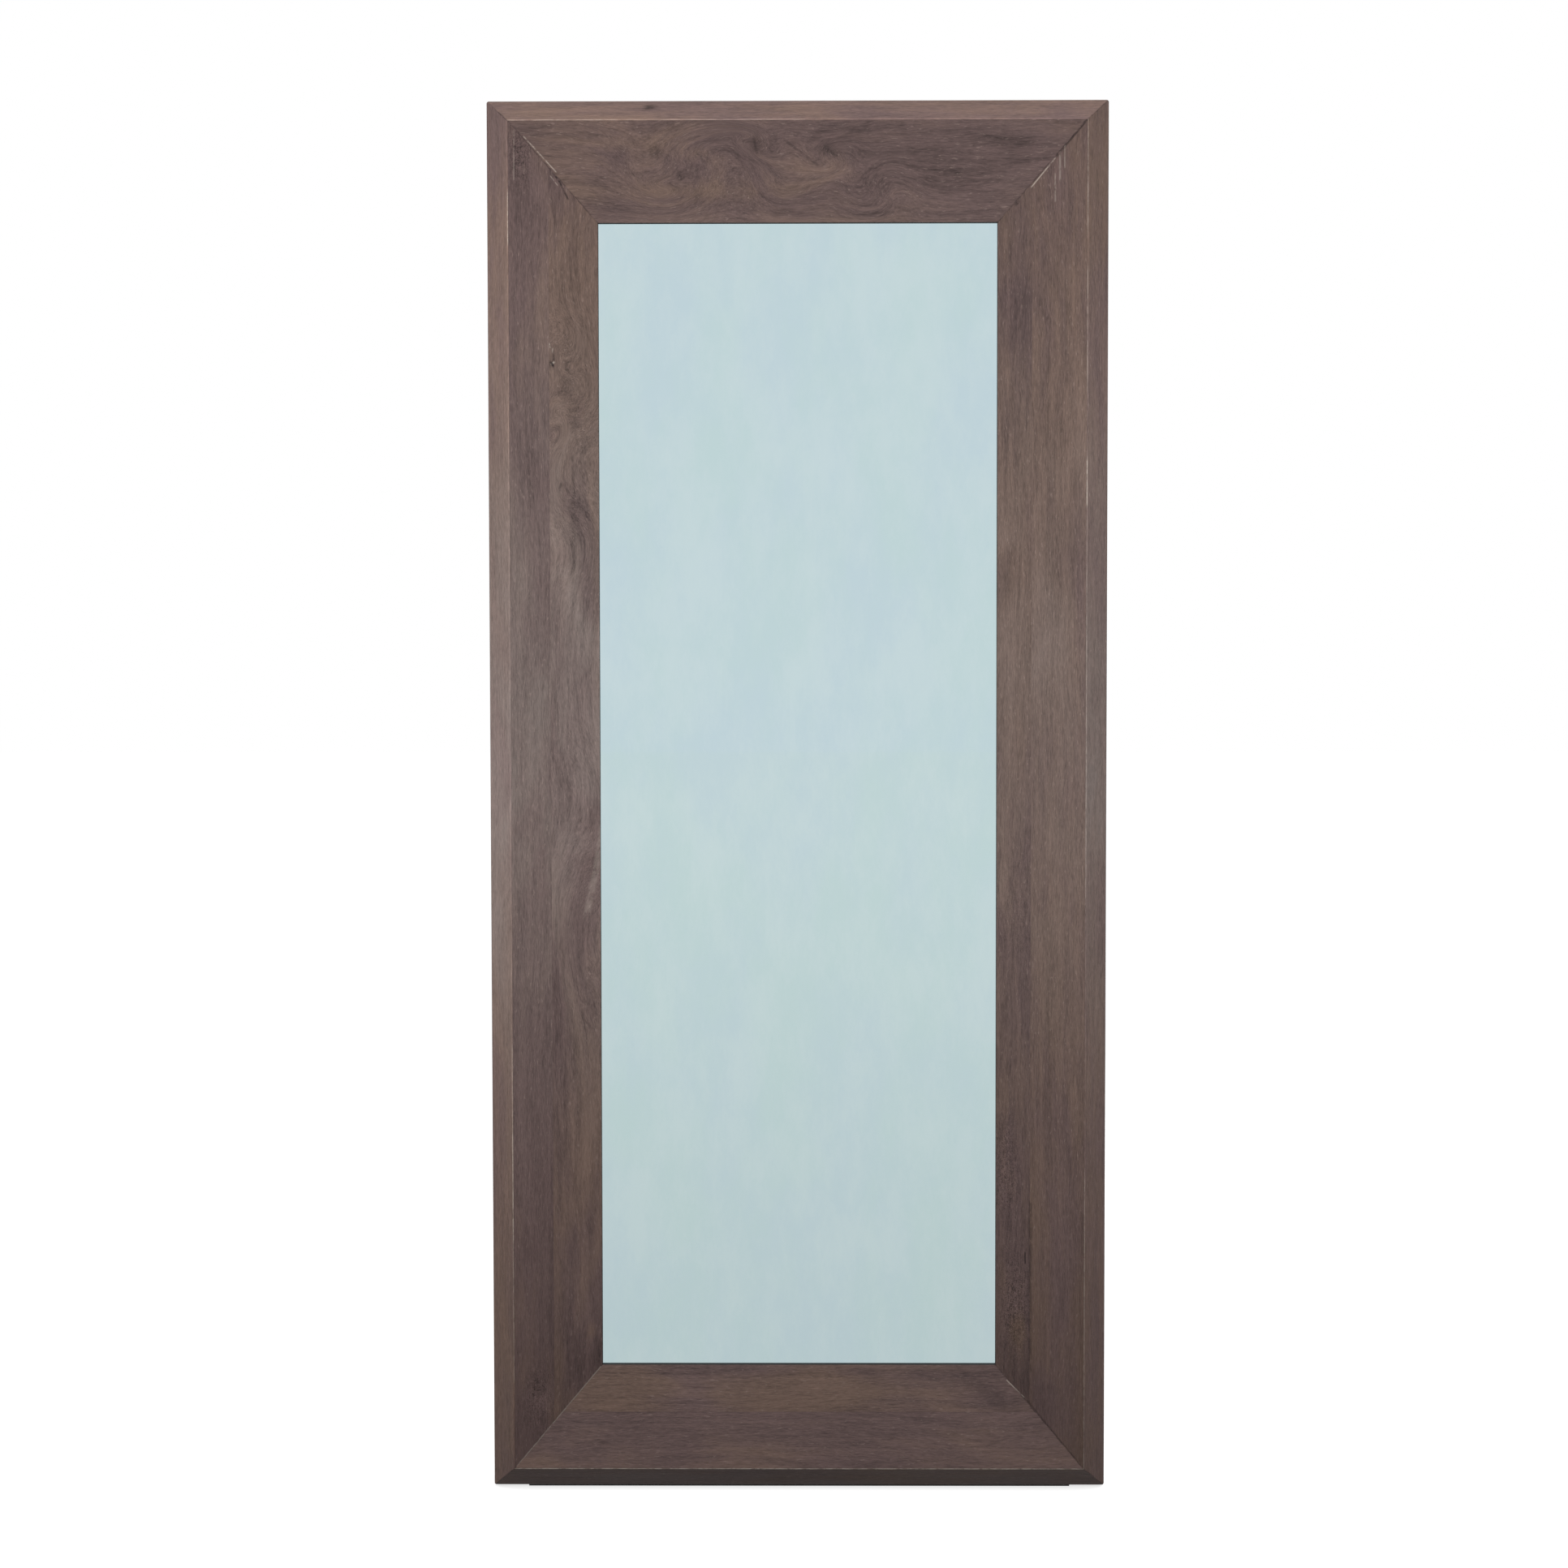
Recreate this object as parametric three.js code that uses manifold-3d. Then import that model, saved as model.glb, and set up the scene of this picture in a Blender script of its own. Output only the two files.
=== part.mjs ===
// Leaning floor mirror: a deep bevelled wooden frame around a tall sheet of mirror glass.
//
// Frame of the part, in millimetres: +X to the viewer's right, +Z up, and the front faces -Y.
// The origin is the middle of the footprint, on the floor.
//
// The frame is a mitred box. Four outer boards stand on edge, each with a chamfered front, and
// inside them wide face boards slope back from the ridge to the glass. The sides are modelled one
// at a time in a side frame of their own: X runs inward from the outer edge, Y runs back from the
// ridge, and Z runs along the board from the middle of its length.

import * as THREE from "three";
import { mergeVertices } from "three/addons/utils/BufferGeometryUtils.js";
import Module from "manifold-3d";

const wasm = await Module();
wasm.setup();

// ---------------------------------------------------------------- driving dimensions

const frameWidth = 800;
const frameHeight = 1800;

// Clearances.
const glueLine = 0.3; // between two glued edges, such as the halves of a mitre
const seatGap = 0.3; // between a piece and what it rests on
const glassClearance = 1; // round the glass in its rebate
const panelClearance = 0.5; // round the back panel in its rebate
const boreClearance = 0.3; // round a screw

// Outer boards.
const outerThickness = 30;
const bevelDrop = 28.5; // how far the chamfered front falls back to the side
const ridgeFlat = 1.5; // the narrow flat left along the ridge
const arris = 1; // small chamfer on the outer edges
const panelRebate = 12; // how far the back panel's rebate is cut in from the inner side

// Face boards.
const faceThickness = 20;
const faceDrop = 64; // from the ridge back to the sight edge
const stileFace = 110; // width of the upright faces, seen from the front
const railFace = 120; // width of the level faces, seen from the front
const sightLip = 5; // wood left in front of the glass
const glassRebate = 12; // how far the glass reaches in behind the sight edge
const leftSeam = 49; // glued seam of the left face, from the ridge
const rightSeam = 67;
const bottomSeam = 65;

// Glass and back.
const glassThickness = 4;
const backingThickness = 3;
const panelThickness = 5;
const panelRecess = 8; // the panel lies this far inside the back of the frame

// Blocks behind the faces.
const cornerLeg = 60;
const cornerThickness = 24;
const wedgeLength = 110;
const wedgeTip = 6; // thickness left at the thin edge of a wedge
const wedgeOffset = 600; // upper and lower wedges of a stile, from its middle

// Back panel screws.
const panelScrew = { length: 18, shank: 1.6, head: 3.4, headHeight: 2.2 };
const stileScrews = 5;
const railScrews = 3;
const screwEndInset = 70; // first and last screw, from the end of the outer board
const rimShare = 0.2; // straight rim of a countersunk head, as a share of its height

// Hangers: a strap with a rolled eye, and a D ring that swings in it.
const strapWidth = 16;
const strapLength = 48; // from the ring's axis to the rounded end
const strapThickness = 1.5;
const ringWire = 3; // diameter
const ringPlay = 0.3; // between the wire and the eye
const ringHalfWidth = 11.5; // to the middle of the wire
const ringCorner = 3.5; // bend radius of the two upper corners
const ringLeg = 2; // straight stretch below each corner
const buttGap = 0.3; // where the two ends of the wire meet inside the eye
const hangerInset = 62; // middle of the strap, from the outer edge of the frame
const hangerScrew = { length: 25, shank: 1.7, head: 3.6, headHeight: 1.8 };
const hangerScrewDrops = [26, 40]; // below the ring's axis
const panRimShare = 1 / 3; // straight rim of a pan head, as a share of its height
const panCrown = { radius: 0.7, height: 0.85 }; // where the head flattens, as shares of the head

// Feet and bumpers.
const stripThickness = 2.5;
const stripEndInset = 45;
const stripSideInset = 3;
const bumperRadius = 7;
const bumperThickness = 3;
const bumperRound = 1;
const bumperEndInset = 60;

// Facets.
const screwSides = 12;
const wireSides = 10;
const ringSteps = 44;
const eyeSteps = 12;

// ---------------------------------------------------------------- worked out from them

const baseZ = stripThickness + seatGap; // underside of the wooden frame
const halfWidth = frameWidth / 2;
const halfHeight = frameHeight / 2;

// Depths behind the ridge, in the order of assembly.
const rebateFloor = faceDrop + sightLip;
const glassFront = rebateFloor + seatGap;
const backingFront = glassFront + glassThickness + seatGap;
const faceBack = backingFront + backingThickness;
const panelFront = faceBack + seatGap;
const panelBack = panelFront + panelThickness;
const frameDepth = panelBack + panelRecess;
const wholeDepth = frameDepth + seatGap + bumperThickness;
const frontY = -wholeDepth / 2;

// The back panel's rebate leaves this much of an outer board behind the panel.
const backStrip = outerThickness - panelRebate;

// ---------------------------------------------------------------- materials

function finish(color, roughness, metalness = 0) {
  return new THREE.MeshStandardMaterial({ color, roughness, metalness });
}

const stainedWood = () => finish(0x6f5c58, 0.55);
const mirrorGlass = () => finish(0xc3d7d8, 0.04, 1);
const hardboard = () => finish(0x6b5138, 0.8);
const plywood = () => finish(0xb08f63, 0.7);
const pine = () => finish(0xc9a878, 0.7);
const zincSteel = () => finish(0xb4b6b8, 0.35, 1);
const rubber = () => finish(0x1d1d1f, 0.85);

// ---------------------------------------------------------------- helpers

// A closed geometry as a solid that can be cut and joined, and back again.
function solidOf(geometry) {
  const bare = geometry.index ? geometry.toNonIndexed() : geometry.clone();
  bare.deleteAttribute("normal");
  bare.deleteAttribute("uv");
  const merged = mergeVertices(bare, 1e-4);
  const mesh = new wasm.Mesh({
    numProp: 3,
    vertProperties: merged.attributes.position.array,
    triVerts: new Uint32Array(merged.index.array),
  });
  return new wasm.Manifold(mesh);
}

function geometryOf(solid) {
  const mesh = solid.getMesh();
  const geometry = new THREE.BufferGeometry();
  const corners = new Float32Array(mesh.vertProperties);
  geometry.setAttribute("position", new THREE.BufferAttribute(corners, 3));
  geometry.setIndex(new THREE.BufferAttribute(new Uint32Array(mesh.triVerts), 1));
  geometry.computeVertexNormals();
  return geometry;
}

function cut(geometry, cutters) {
  const whole = solidOf(geometry);
  return geometryOf(cutters.reduce((solid, cutter) => solid.subtract(solidOf(cutter)), whole));
}

function join(first, second) {
  return geometryOf(solidOf(first).add(solidOf(second)));
}

// An outline of [x, y] corners, without corners that fall on the one before.
function outline(corners) {
  const kept = corners.filter(([x, y], i) => {
    const [px, py] = corners[(i + corners.length - 1) % corners.length];
    return Math.hypot(x - px, y - py) > 1e-6;
  });
  return new THREE.Shape(kept.map(([x, y]) => new THREE.Vector2(x, y)));
}

function prism(shape, depth) {
  return new THREE.ExtrudeGeometry(shape, { depth, bevelEnabled: false, curveSegments: eyeSteps });
}

// A section swept along Z from end to end, each end cut back by setback(x). The section is first
// drawn out to a short prism, whose two ends are then moved to where the mitre wants them.
function mitredPrism(shape, halfLength, setback) {
  const drawnOut = 1;
  const geometry = prism(shape, drawnOut);
  const position = geometry.attributes.position;
  for (let i = 0; i < position.count; i++) {
    const end = position.getZ(i) > drawnOut / 2 ? 1 : -1;
    position.setZ(i, end * (halfLength - setback(position.getX(i))));
  }
  geometry.computeVertexNormals();
  return geometry;
}

function turned(profile) {
  const points = profile.map(([radius, height]) => new THREE.Vector2(radius, height));
  return new THREE.LatheGeometry(points, screwSides);
}

function box(width, depth, height) {
  return new THREE.BoxGeometry(width, depth, height);
}

// ---------------------------------------------------------------- the four sides

const sides = [
  {
    name: "left",
    turn: 0,
    halfSpan: halfWidth,
    halfLength: halfHeight,
    face: stileFace,
    crossFace: railFace,
    seam: leftSeam,
    screws: stileScrews,
    wedges: { lower: -wedgeOffset, middle: 0, upper: wedgeOffset },
  },
  {
    name: "right",
    turn: Math.PI,
    halfSpan: halfWidth,
    halfLength: halfHeight,
    face: stileFace,
    crossFace: railFace,
    seam: rightSeam,
    screws: stileScrews,
    wedges: { lower: wedgeOffset, middle: 0, upper: -wedgeOffset },
  },
  {
    name: "top",
    turn: Math.PI / 2,
    halfSpan: halfHeight,
    halfLength: halfWidth,
    face: railFace,
    crossFace: stileFace,
    seam: 0,
    screws: railScrews,
    wedges: { middle: 0 },
  },
  {
    name: "bottom",
    turn: -Math.PI / 2,
    halfSpan: halfHeight,
    halfLength: halfWidth,
    face: railFace,
    crossFace: stileFace,
    seam: bottomSeam,
    screws: railScrews,
    wedges: { middle: 0 },
  },
];

const part = new THREE.Group();

// Each side's group turns about the middle of the frame, at the depth of the ridge.
for (const side of sides) {
  side.group = new THREE.Group();
  side.group.rotation.y = side.turn;
  side.group.position.set(0, frontY, baseZ + halfHeight);
  part.add(side.group);
}

function add(group, name, geometry, material, x = 0, y = 0, z = 0) {
  const mesh = new THREE.Mesh(geometry, material);
  mesh.name = name;
  mesh.position.set(x, y, z);
  group.add(mesh);
}

function addToSide(side, name, geometry, material, inward = 0, depth = 0, along = 0) {
  add(side.group, name, geometry, material, inward - side.halfSpan, depth, along);
}

// ---------------------------------------------------------------- screws

// Screws lie along Y with the top of the head at 0, or the seat of a pan head at 0.
function countersunkScrew({ length, shank, head, headHeight }) {
  const rim = headHeight * rimShare;
  const point = shank * 2;
  return turned([
    [0, -length],
    [shank, -length + point],
    [shank, -headHeight],
    [head, -rim],
    [head, 0],
    [0, 0],
  ]);
}

function countersunkBore({ length, shank, head, headHeight }) {
  const rim = headHeight * rimShare;
  const above = 1; // how far the cutter stands out of the surface
  return turned([
    [0, -length - boreClearance],
    [shank + boreClearance, -length - boreClearance],
    [shank + boreClearance, -headHeight - boreClearance],
    [head + boreClearance, -rim - boreClearance],
    [head + boreClearance, above],
    [0, above],
  ]);
}

function panScrew({ length, shank, head, headHeight }) {
  const point = shank * 2;
  return turned([
    [0, -length],
    [shank, -length + point],
    [shank, 0],
    [head, 0],
    [head, headHeight * panRimShare],
    [head * panCrown.radius, headHeight * panCrown.height],
    [0, headHeight],
  ]);
}

function straightBore({ length, shank }) {
  const above = 5; // how far the cutter stands out of the surface
  return turned([
    [0, -length - boreClearance],
    [shank + boreClearance, -length - boreClearance],
    [shank + boreClearance, above],
    [0, above],
  ]);
}

// Places along a side where the back panel is screwed to its outer board.
function screwPlaces(side) {
  const reach = side.halfLength - screwEndInset;
  const step = (2 * reach) / (side.screws - 1);
  return Array.from({ length: side.screws }, (_, i) => -reach + i * step);
}

const screwInset = outerThickness - panelRebate / 2;

// ---------------------------------------------------------------- outer boards

// Chamfered front, narrow flat on the ridge, and a rebate behind for the back panel.
function outerSection() {
  const bevelRun = outerThickness - ridgeFlat;
  const bevelLength = Math.hypot(bevelRun, bevelDrop);
  const shoulder = panelFront - seatGap;
  return outline([
    [0, bevelDrop + arris],
    [(arris * bevelRun) / bevelLength, bevelDrop - (arris * bevelDrop) / bevelLength],
    [bevelRun, 0],
    [outerThickness, 0],
    [outerThickness, shoulder],
    [backStrip, shoulder],
    [backStrip, frameDepth],
    [arris, frameDepth],
    [0, frameDepth - arris],
  ]);
}

for (const side of sides) {
  const halfGlue = (glueLine / 2) * Math.SQRT2;
  const board = mitredPrism(outerSection(), side.halfLength, (inward) => inward + halfGlue);
  const bores = screwPlaces(side).map((along) =>
    countersunkBore(panelScrew).translate(screwInset, panelBack, along),
  );
  addToSide(side, `outer_board_${side.name}`, cut(board, bores), stainedWood());
}

// ---------------------------------------------------------------- face boards

// A face board slopes from the ridge back to the sight edge at one angle from end to end.
function slopeOf(face) {
  const angle = Math.atan2(faceDrop, face);
  const front = (inward) => (inward - outerThickness) * Math.tan(angle);
  const back = (inward) => front(inward) + faceThickness / Math.cos(angle);
  const inwardAtBack = (depth) =>
    outerThickness + (depth - faceThickness / Math.cos(angle)) / Math.tan(angle);
  return { angle, front, back, inwardAtBack };
}

// Where a glued seam square to the face meets its front and its back.
function seamEnds(face, seam) {
  const { angle, front } = slopeOf(face);
  const inward = outerThickness + seam;
  return {
    front: [inward, front(inward)],
    back: [
      inward - faceThickness * Math.sin(angle),
      front(inward) + faceThickness * Math.cos(angle),
    ],
    shift: [(glueLine / 2) * Math.cos(angle), (glueLine / 2) * Math.sin(angle)],
  };
}

const plus = ([x, y], [dx, dy]) => [x + dx, y + dy];
const minus = ([x, y], [dx, dy]) => [x - dx, y - dy];

// The board's two ends in section: against the outer board, and at the glass.
function outerEdge(face) {
  const { front, back } = slopeOf(face);
  const inward = outerThickness + glueLine;
  return [
    [inward, back(inward)],
    [inward, front(inward)],
  ];
}

function sightEdge(face) {
  const { back, inwardAtBack } = slopeOf(face);
  const sight = outerThickness + face;
  const rebateWall = sight - glassRebate;
  return [
    [sight, faceDrop],
    [sight, rebateFloor],
    [rebateWall, rebateFloor],
    [rebateWall, Math.min(faceBack, back(rebateWall))],
    [Math.min(rebateWall, inwardAtBack(faceBack)), Math.min(faceBack, back(rebateWall))],
  ];
}

function outerStripSection(face, seam) {
  const { front, back, shift } = seamEnds(face, seam);
  return outline([...outerEdge(face), minus(front, shift), minus(back, shift)]);
}

function innerStripSection(face, seam) {
  const { front, back, shift } = seamEnds(face, seam);
  return outline([plus(back, shift), plus(front, shift), ...sightEdge(face)]);
}

function wholeFaceSection(face) {
  return outline([...outerEdge(face), ...sightEdge(face)]);
}

// Stile and rail faces differ in width, so their mitre runs from the corner of the ridge to the
// corner of the sight edge.
for (const side of sides) {
  const run = side.crossFace / side.face;
  const halfGlue = (glueLine / 2) * Math.hypot(1, run);
  const setback = (inward) => outerThickness + (inward - outerThickness) * run + halfGlue;
  const strip = (section) => mitredPrism(section, side.halfLength, setback);
  if (side.seam) {
    const outer = strip(outerStripSection(side.face, side.seam));
    const inner = strip(innerStripSection(side.face, side.seam));
    addToSide(side, `face_${side.name}_outer_strip`, outer, stainedWood());
    addToSide(side, `face_${side.name}_inner_strip`, inner, stainedWood());
  } else {
    addToSide(side, `face_${side.name}_board`, strip(wholeFaceSection(side.face)), stainedWood());
  }
}

// ---------------------------------------------------------------- glass, backing and back panel

const behindWidth = frameWidth - 2 * (outerThickness + stileFace - glassRebate + glassClearance);
const behindHeight = frameHeight - 2 * (outerThickness + railFace - glassRebate + glassClearance);
const middleZ = baseZ + halfHeight;

add(
  part,
  "mirror_glass",
  box(behindWidth, glassThickness, behindHeight),
  mirrorGlass(),
  0,
  frontY + glassFront + glassThickness / 2,
  middleZ,
);
add(
  part,
  "glass_backing_sheet",
  box(behindWidth, backingThickness, behindHeight),
  hardboard(),
  0,
  frontY + backingFront + backingThickness / 2,
  middleZ,
);

// A point of a side frame, in the part's own frame.
function onSide(side, inward, depth, along) {
  side.group.updateMatrixWorld(true);
  return new THREE.Vector3(inward - side.halfSpan, depth, along).applyMatrix4(
    side.group.matrixWorld,
  );
}

const stiles = sides.filter((side) => side.wedges.upper !== undefined);
const panelWidth = frameWidth - 2 * (backStrip + panelClearance);
const panelHeight = frameHeight - 2 * (backStrip + panelClearance);
const panelScrewPlaces = sides.flatMap((side) =>
  screwPlaces(side).map((along) => onSide(side, screwInset, panelBack, along)),
);
const hangerScrewPlaces = stiles.flatMap((side) =>
  hangerScrewDrops.map((drop) => {
    const place = onSide(side, hangerInset, panelBack, side.wedges.upper);
    return place.setZ(place.z - drop);
  }),
);
const panelMiddle = new THREE.Vector3(0, frontY + panelFront + panelThickness / 2, middleZ);
const toPanel = (geometry, place) => geometry.translate(...place.clone().sub(panelMiddle));
const panel = cut(box(panelWidth, panelThickness, panelHeight), [
  ...panelScrewPlaces.map((place) => toPanel(countersunkBore(panelScrew), place)),
  ...hangerScrewPlaces.map((place) => toPanel(straightBore(hangerScrew), place)),
]);
add(part, "back_panel", panel, plywood(), ...panelMiddle);

for (const side of sides) {
  screwPlaces(side).forEach((along, i) => {
    const name = `panel_screw_${side.name}_${i + 1}`;
    addToSide(side, name, countersunkScrew(panelScrew), zincSteel(), screwInset, panelBack, along);
  });
}

// ---------------------------------------------------------------- blocks behind the faces

// A wedge fills the corner between outer board, face board and back panel.
function wedgeSection(face) {
  const { angle, back, inwardAtBack } = slopeOf(face);
  const inward = outerThickness + seatGap;
  const lift = seatGap / Math.cos(angle);
  return outline([
    [inward, back(inward) + lift],
    [inwardAtBack(faceBack - wedgeTip - lift), faceBack - wedgeTip],
    [inwardAtBack(faceBack - wedgeTip - lift), faceBack],
    [inward, faceBack],
  ]);
}

for (const side of sides) {
  for (const [place, along] of Object.entries(side.wedges)) {
    let wedge = prism(wedgeSection(side.face), wedgeLength).translate(0, 0, along - wedgeLength / 2);
    if (place === "upper") {
      const down = -Math.sign(along);
      const bores = hangerScrewDrops.map((drop) =>
        straightBore(hangerScrew).translate(hangerInset, panelBack, along + down * drop),
      );
      wedge = cut(wedge, bores);
    }
    addToSide(side, `wedge_${side.name}_${place}`, wedge, pine());
  }
}

// A three-cornered block is glued into each corner, against both outer boards.
function cornerBlock() {
  const shape = outline([
    [0, 0],
    [cornerLeg, 0],
    [0, cornerLeg],
  ]);
  return prism(shape, cornerThickness).rotateX(Math.PI / 2);
}

const cornerOf = { left: "bottom_left", bottom: "bottom_right", right: "top_right", top: "top_left" };
for (const side of sides) {
  const inward = outerThickness + seatGap;
  const name = `corner_block_${cornerOf[side.name]}`;
  addToSide(side, name, cornerBlock(), pine(), inward, faceBack, inward - side.halfLength);
}

// ---------------------------------------------------------------- hangers

const wireRadius = ringWire / 2;
const eyeBore = wireRadius + ringPlay;
const eyeRadius = eyeBore + strapThickness;
const strapFoot = seatGap; // the strap's underside, from the panel
const rollEnd = Math.PI + Math.PI / 9; // where the roll stops, just short of the plate
const ringAxisHeight = strapFoot + eyeRadius;

// The strap is a flat plate with a rounded end, and its upper end rolls back over the ring's wire.
// X is across the strap, Y away from the panel and Z up, from the ring's axis.
function hangerStrap() {
  const half = strapWidth / 2;
  const plate = new THREE.Shape();
  plate.moveTo(half, 0);
  plate.lineTo(-half, 0);
  plate.lineTo(-half, half - strapLength);
  plate.absarc(0, half - strapLength, half, Math.PI, 2 * Math.PI);
  for (const drop of hangerScrewDrops) {
    const hole = new THREE.Path();
    hole.absarc(0, -drop, hangerScrew.shank + boreClearance, 0, 2 * Math.PI);
    plate.holes.push(hole);
  }
  const flat = prism(plate, strapThickness)
    .rotateX(Math.PI / 2)
    .translate(0, strapThickness - eyeRadius, 0);

  const lead = 1; // straight start of the roll, inside the plate
  const roll = new THREE.Shape();
  roll.moveTo(-lead, -eyeRadius);
  roll.lineTo(0, -eyeRadius);
  roll.absarc(0, 0, eyeRadius, -Math.PI / 2, rollEnd);
  roll.absarc(0, 0, eyeBore, rollEnd, -Math.PI / 2, true);
  roll.lineTo(-lead, -eyeBore);
  const eye = prism(roll, strapWidth)
    .translate(0, 0, -half)
    .rotateY(-Math.PI / 2);
  return join(flat, eye);
}

// The ring is one length of wire: the bar in the eye, two bends, two short legs and a half circle.
// It hangs down from the bar's axis.
function hangerRing() {
  const bar = ringHalfWidth - ringCorner;
  const legEnd = -ringCorner - ringLeg;
  const line = new THREE.Path();
  line.moveTo(buttGap / 2, 0);
  line.lineTo(bar, 0);
  line.absarc(bar, -ringCorner, ringCorner, Math.PI / 2, 0, true);
  line.lineTo(ringHalfWidth, legEnd);
  line.absarc(0, legEnd, ringHalfWidth, 0, -Math.PI, true);
  line.lineTo(-ringHalfWidth, -ringCorner);
  line.absarc(-bar, -ringCorner, ringCorner, Math.PI, Math.PI / 2, true);
  line.lineTo(-buttGap / 2, 0);
  const points = line.getSpacedPoints(ringSteps).map(({ x, y }) => new THREE.Vector3(x, 0, y));
  const section = new THREE.Shape().absarc(0, 0, wireRadius, 0, 2 * Math.PI);
  return new THREE.ExtrudeGeometry(section, {
    extrudePath: new THREE.CatmullRomCurve3(points),
    steps: ringSteps,
    curveSegments: wireSides / 2,
  });
}

for (const side of stiles) {
  const axis = onSide(side, hangerInset, panelBack + ringAxisHeight, side.wedges.upper);
  add(part, `hanger_strap_${side.name}`, hangerStrap(), zincSteel(), ...axis);
  add(part, `hanger_ring_${side.name}`, hangerRing(), zincSteel(), ...axis);
  hangerScrewDrops.forEach((drop, i) => {
    const seatY = axis.y - ringAxisHeight + strapFoot + strapThickness + seatGap;
    const name = `hanger_screw_${side.name}_${i + 1}`;
    add(part, name, panScrew(hangerScrew), zincSteel(), axis.x, seatY, axis.z - drop);
  });
}

// ---------------------------------------------------------------- floor strip and wall bumpers

const flatStart = bevelDrop + arris + stripSideInset;
const flatEnd = frameDepth - arris - stripSideInset;
const strip = box(frameWidth - 2 * stripEndInset, flatEnd - flatStart, stripThickness);
const stripY = frontY + (flatStart + flatEnd) / 2;
add(part, "floor_grip_strip", strip, rubber(), 0, stripY, stripThickness / 2);

function bumper() {
  const shoulder = bumperRadius - bumperRound;
  return turned([
    [0, 0],
    [bumperRadius, 0],
    [bumperRadius, bumperThickness - bumperRound],
    [shoulder, bumperThickness],
    [0, bumperThickness],
  ]);
}

for (const side of stiles) {
  const up = Math.sign(side.wedges.upper);
  for (const [place, end] of Object.entries({ top: up, bottom: -up })) {
    const along = end * (side.halfLength - bumperEndInset);
    const name = `wall_bumper_${place}_${side.name}`;
    addToSide(side, name, bumper(), rubber(), backStrip / 2, frameDepth + seatGap, along);
  }
}

export default part;
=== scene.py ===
# %% [markdown]
# # A leaning floor mirror
# A tall sheet of mirror glass sits in a deep frame of stained hardwood. Four outer boards stand on
# edge with a chamfered front, and seven wider boards slope back from the ridge to the glass. The
# measured model from CAD is loaded first and stays fixed, so every piece made here has to land
# where that model says. The scene is in metres: +X is the viewer's right, +Z is up, and the front
# faces -Y.

# %% Load the measured frame
import math

import bmesh
import bpy
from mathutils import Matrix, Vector


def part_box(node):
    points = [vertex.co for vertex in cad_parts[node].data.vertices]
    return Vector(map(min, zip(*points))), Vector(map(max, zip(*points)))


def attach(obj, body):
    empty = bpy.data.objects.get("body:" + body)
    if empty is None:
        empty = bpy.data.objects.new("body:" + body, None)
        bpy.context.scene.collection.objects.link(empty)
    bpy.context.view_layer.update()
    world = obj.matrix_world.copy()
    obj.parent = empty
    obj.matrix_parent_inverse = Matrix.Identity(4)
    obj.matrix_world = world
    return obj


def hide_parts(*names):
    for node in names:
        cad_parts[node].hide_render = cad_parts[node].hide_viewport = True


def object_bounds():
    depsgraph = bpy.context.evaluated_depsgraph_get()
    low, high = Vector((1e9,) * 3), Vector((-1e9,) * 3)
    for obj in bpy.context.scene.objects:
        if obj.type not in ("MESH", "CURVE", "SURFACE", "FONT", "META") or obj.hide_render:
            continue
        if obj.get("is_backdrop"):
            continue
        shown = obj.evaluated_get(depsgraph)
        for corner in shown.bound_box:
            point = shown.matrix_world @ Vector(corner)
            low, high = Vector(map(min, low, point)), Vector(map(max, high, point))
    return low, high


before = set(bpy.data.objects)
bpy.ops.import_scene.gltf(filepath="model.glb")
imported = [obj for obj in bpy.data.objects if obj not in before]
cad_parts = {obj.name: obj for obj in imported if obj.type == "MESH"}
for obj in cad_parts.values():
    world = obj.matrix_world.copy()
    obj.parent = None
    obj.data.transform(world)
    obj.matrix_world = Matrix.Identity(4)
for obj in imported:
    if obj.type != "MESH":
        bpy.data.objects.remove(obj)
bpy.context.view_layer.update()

# %% [markdown]
# The camera comes next, because every later choice is judged through it. The photograph was taken
# from a little above the middle of the mirror, almost straight on, with a long lens: the corners of
# the ridge and of the sight edge give the place and the lens. A real studio picture like this is
# taken from three to four metres away, so that the frame's lines stay nearly parallel.

# %% Camera at the photograph's place
camera_data = bpy.data.cameras.new("camera")
camera_data.lens = 63.71
camera_data.sensor_width = 36
camera = bpy.data.objects.new("camera", camera_data)
bpy.context.scene.collection.objects.link(camera)
camera.location = (0.00785, -3.6187, 1.08085)
camera.rotation_euler = [math.radians(turn) for turn in (87.502, 0.0755, 0.4154)]
bpy.context.scene.camera = camera
bpy.context.scene.view_settings.view_transform = "Standard"
print("camera:", camera_data.lens, "mm lens,", round(-camera.location.y, 2), "m in front")

# %% [markdown]
# ## A bench of small tools
# The boards are made as a joiner makes them: a block is planed to its size, and the saw takes off
# what lies beyond each plane. In Blender the block is a cube primitive scaled to size, the saw is
# the bisect tool, the router is a Boolean modifier and the block plane is a bevel. A saw cut gets a
# point that it passes through and a direction that points at the waste.

# %% Taking up a piece
def deselect_all():
    if bpy.context.mode != "OBJECT":
        bpy.ops.object.mode_set(mode="OBJECT")
    bpy.ops.object.select_all(action="DESELECT")


def take_up(piece):
    """Selects one piece and makes it the active one."""
    deselect_all()
    piece.select_set(True)
    bpy.context.view_layer.objects.active = piece


# %% Block and saw
def block(name, corner, far_corner):
    """A cuboid between two corners, with its place in its mesh."""
    deselect_all()
    bpy.ops.mesh.primitive_cube_add(size=1, location=(corner + far_corner) / 2)
    piece = bpy.context.object
    piece.name = name
    piece.scale = [abs(length) for length in far_corner - corner]
    bpy.ops.object.transform_apply(location=True, rotation=True, scale=True)
    return piece


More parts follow.
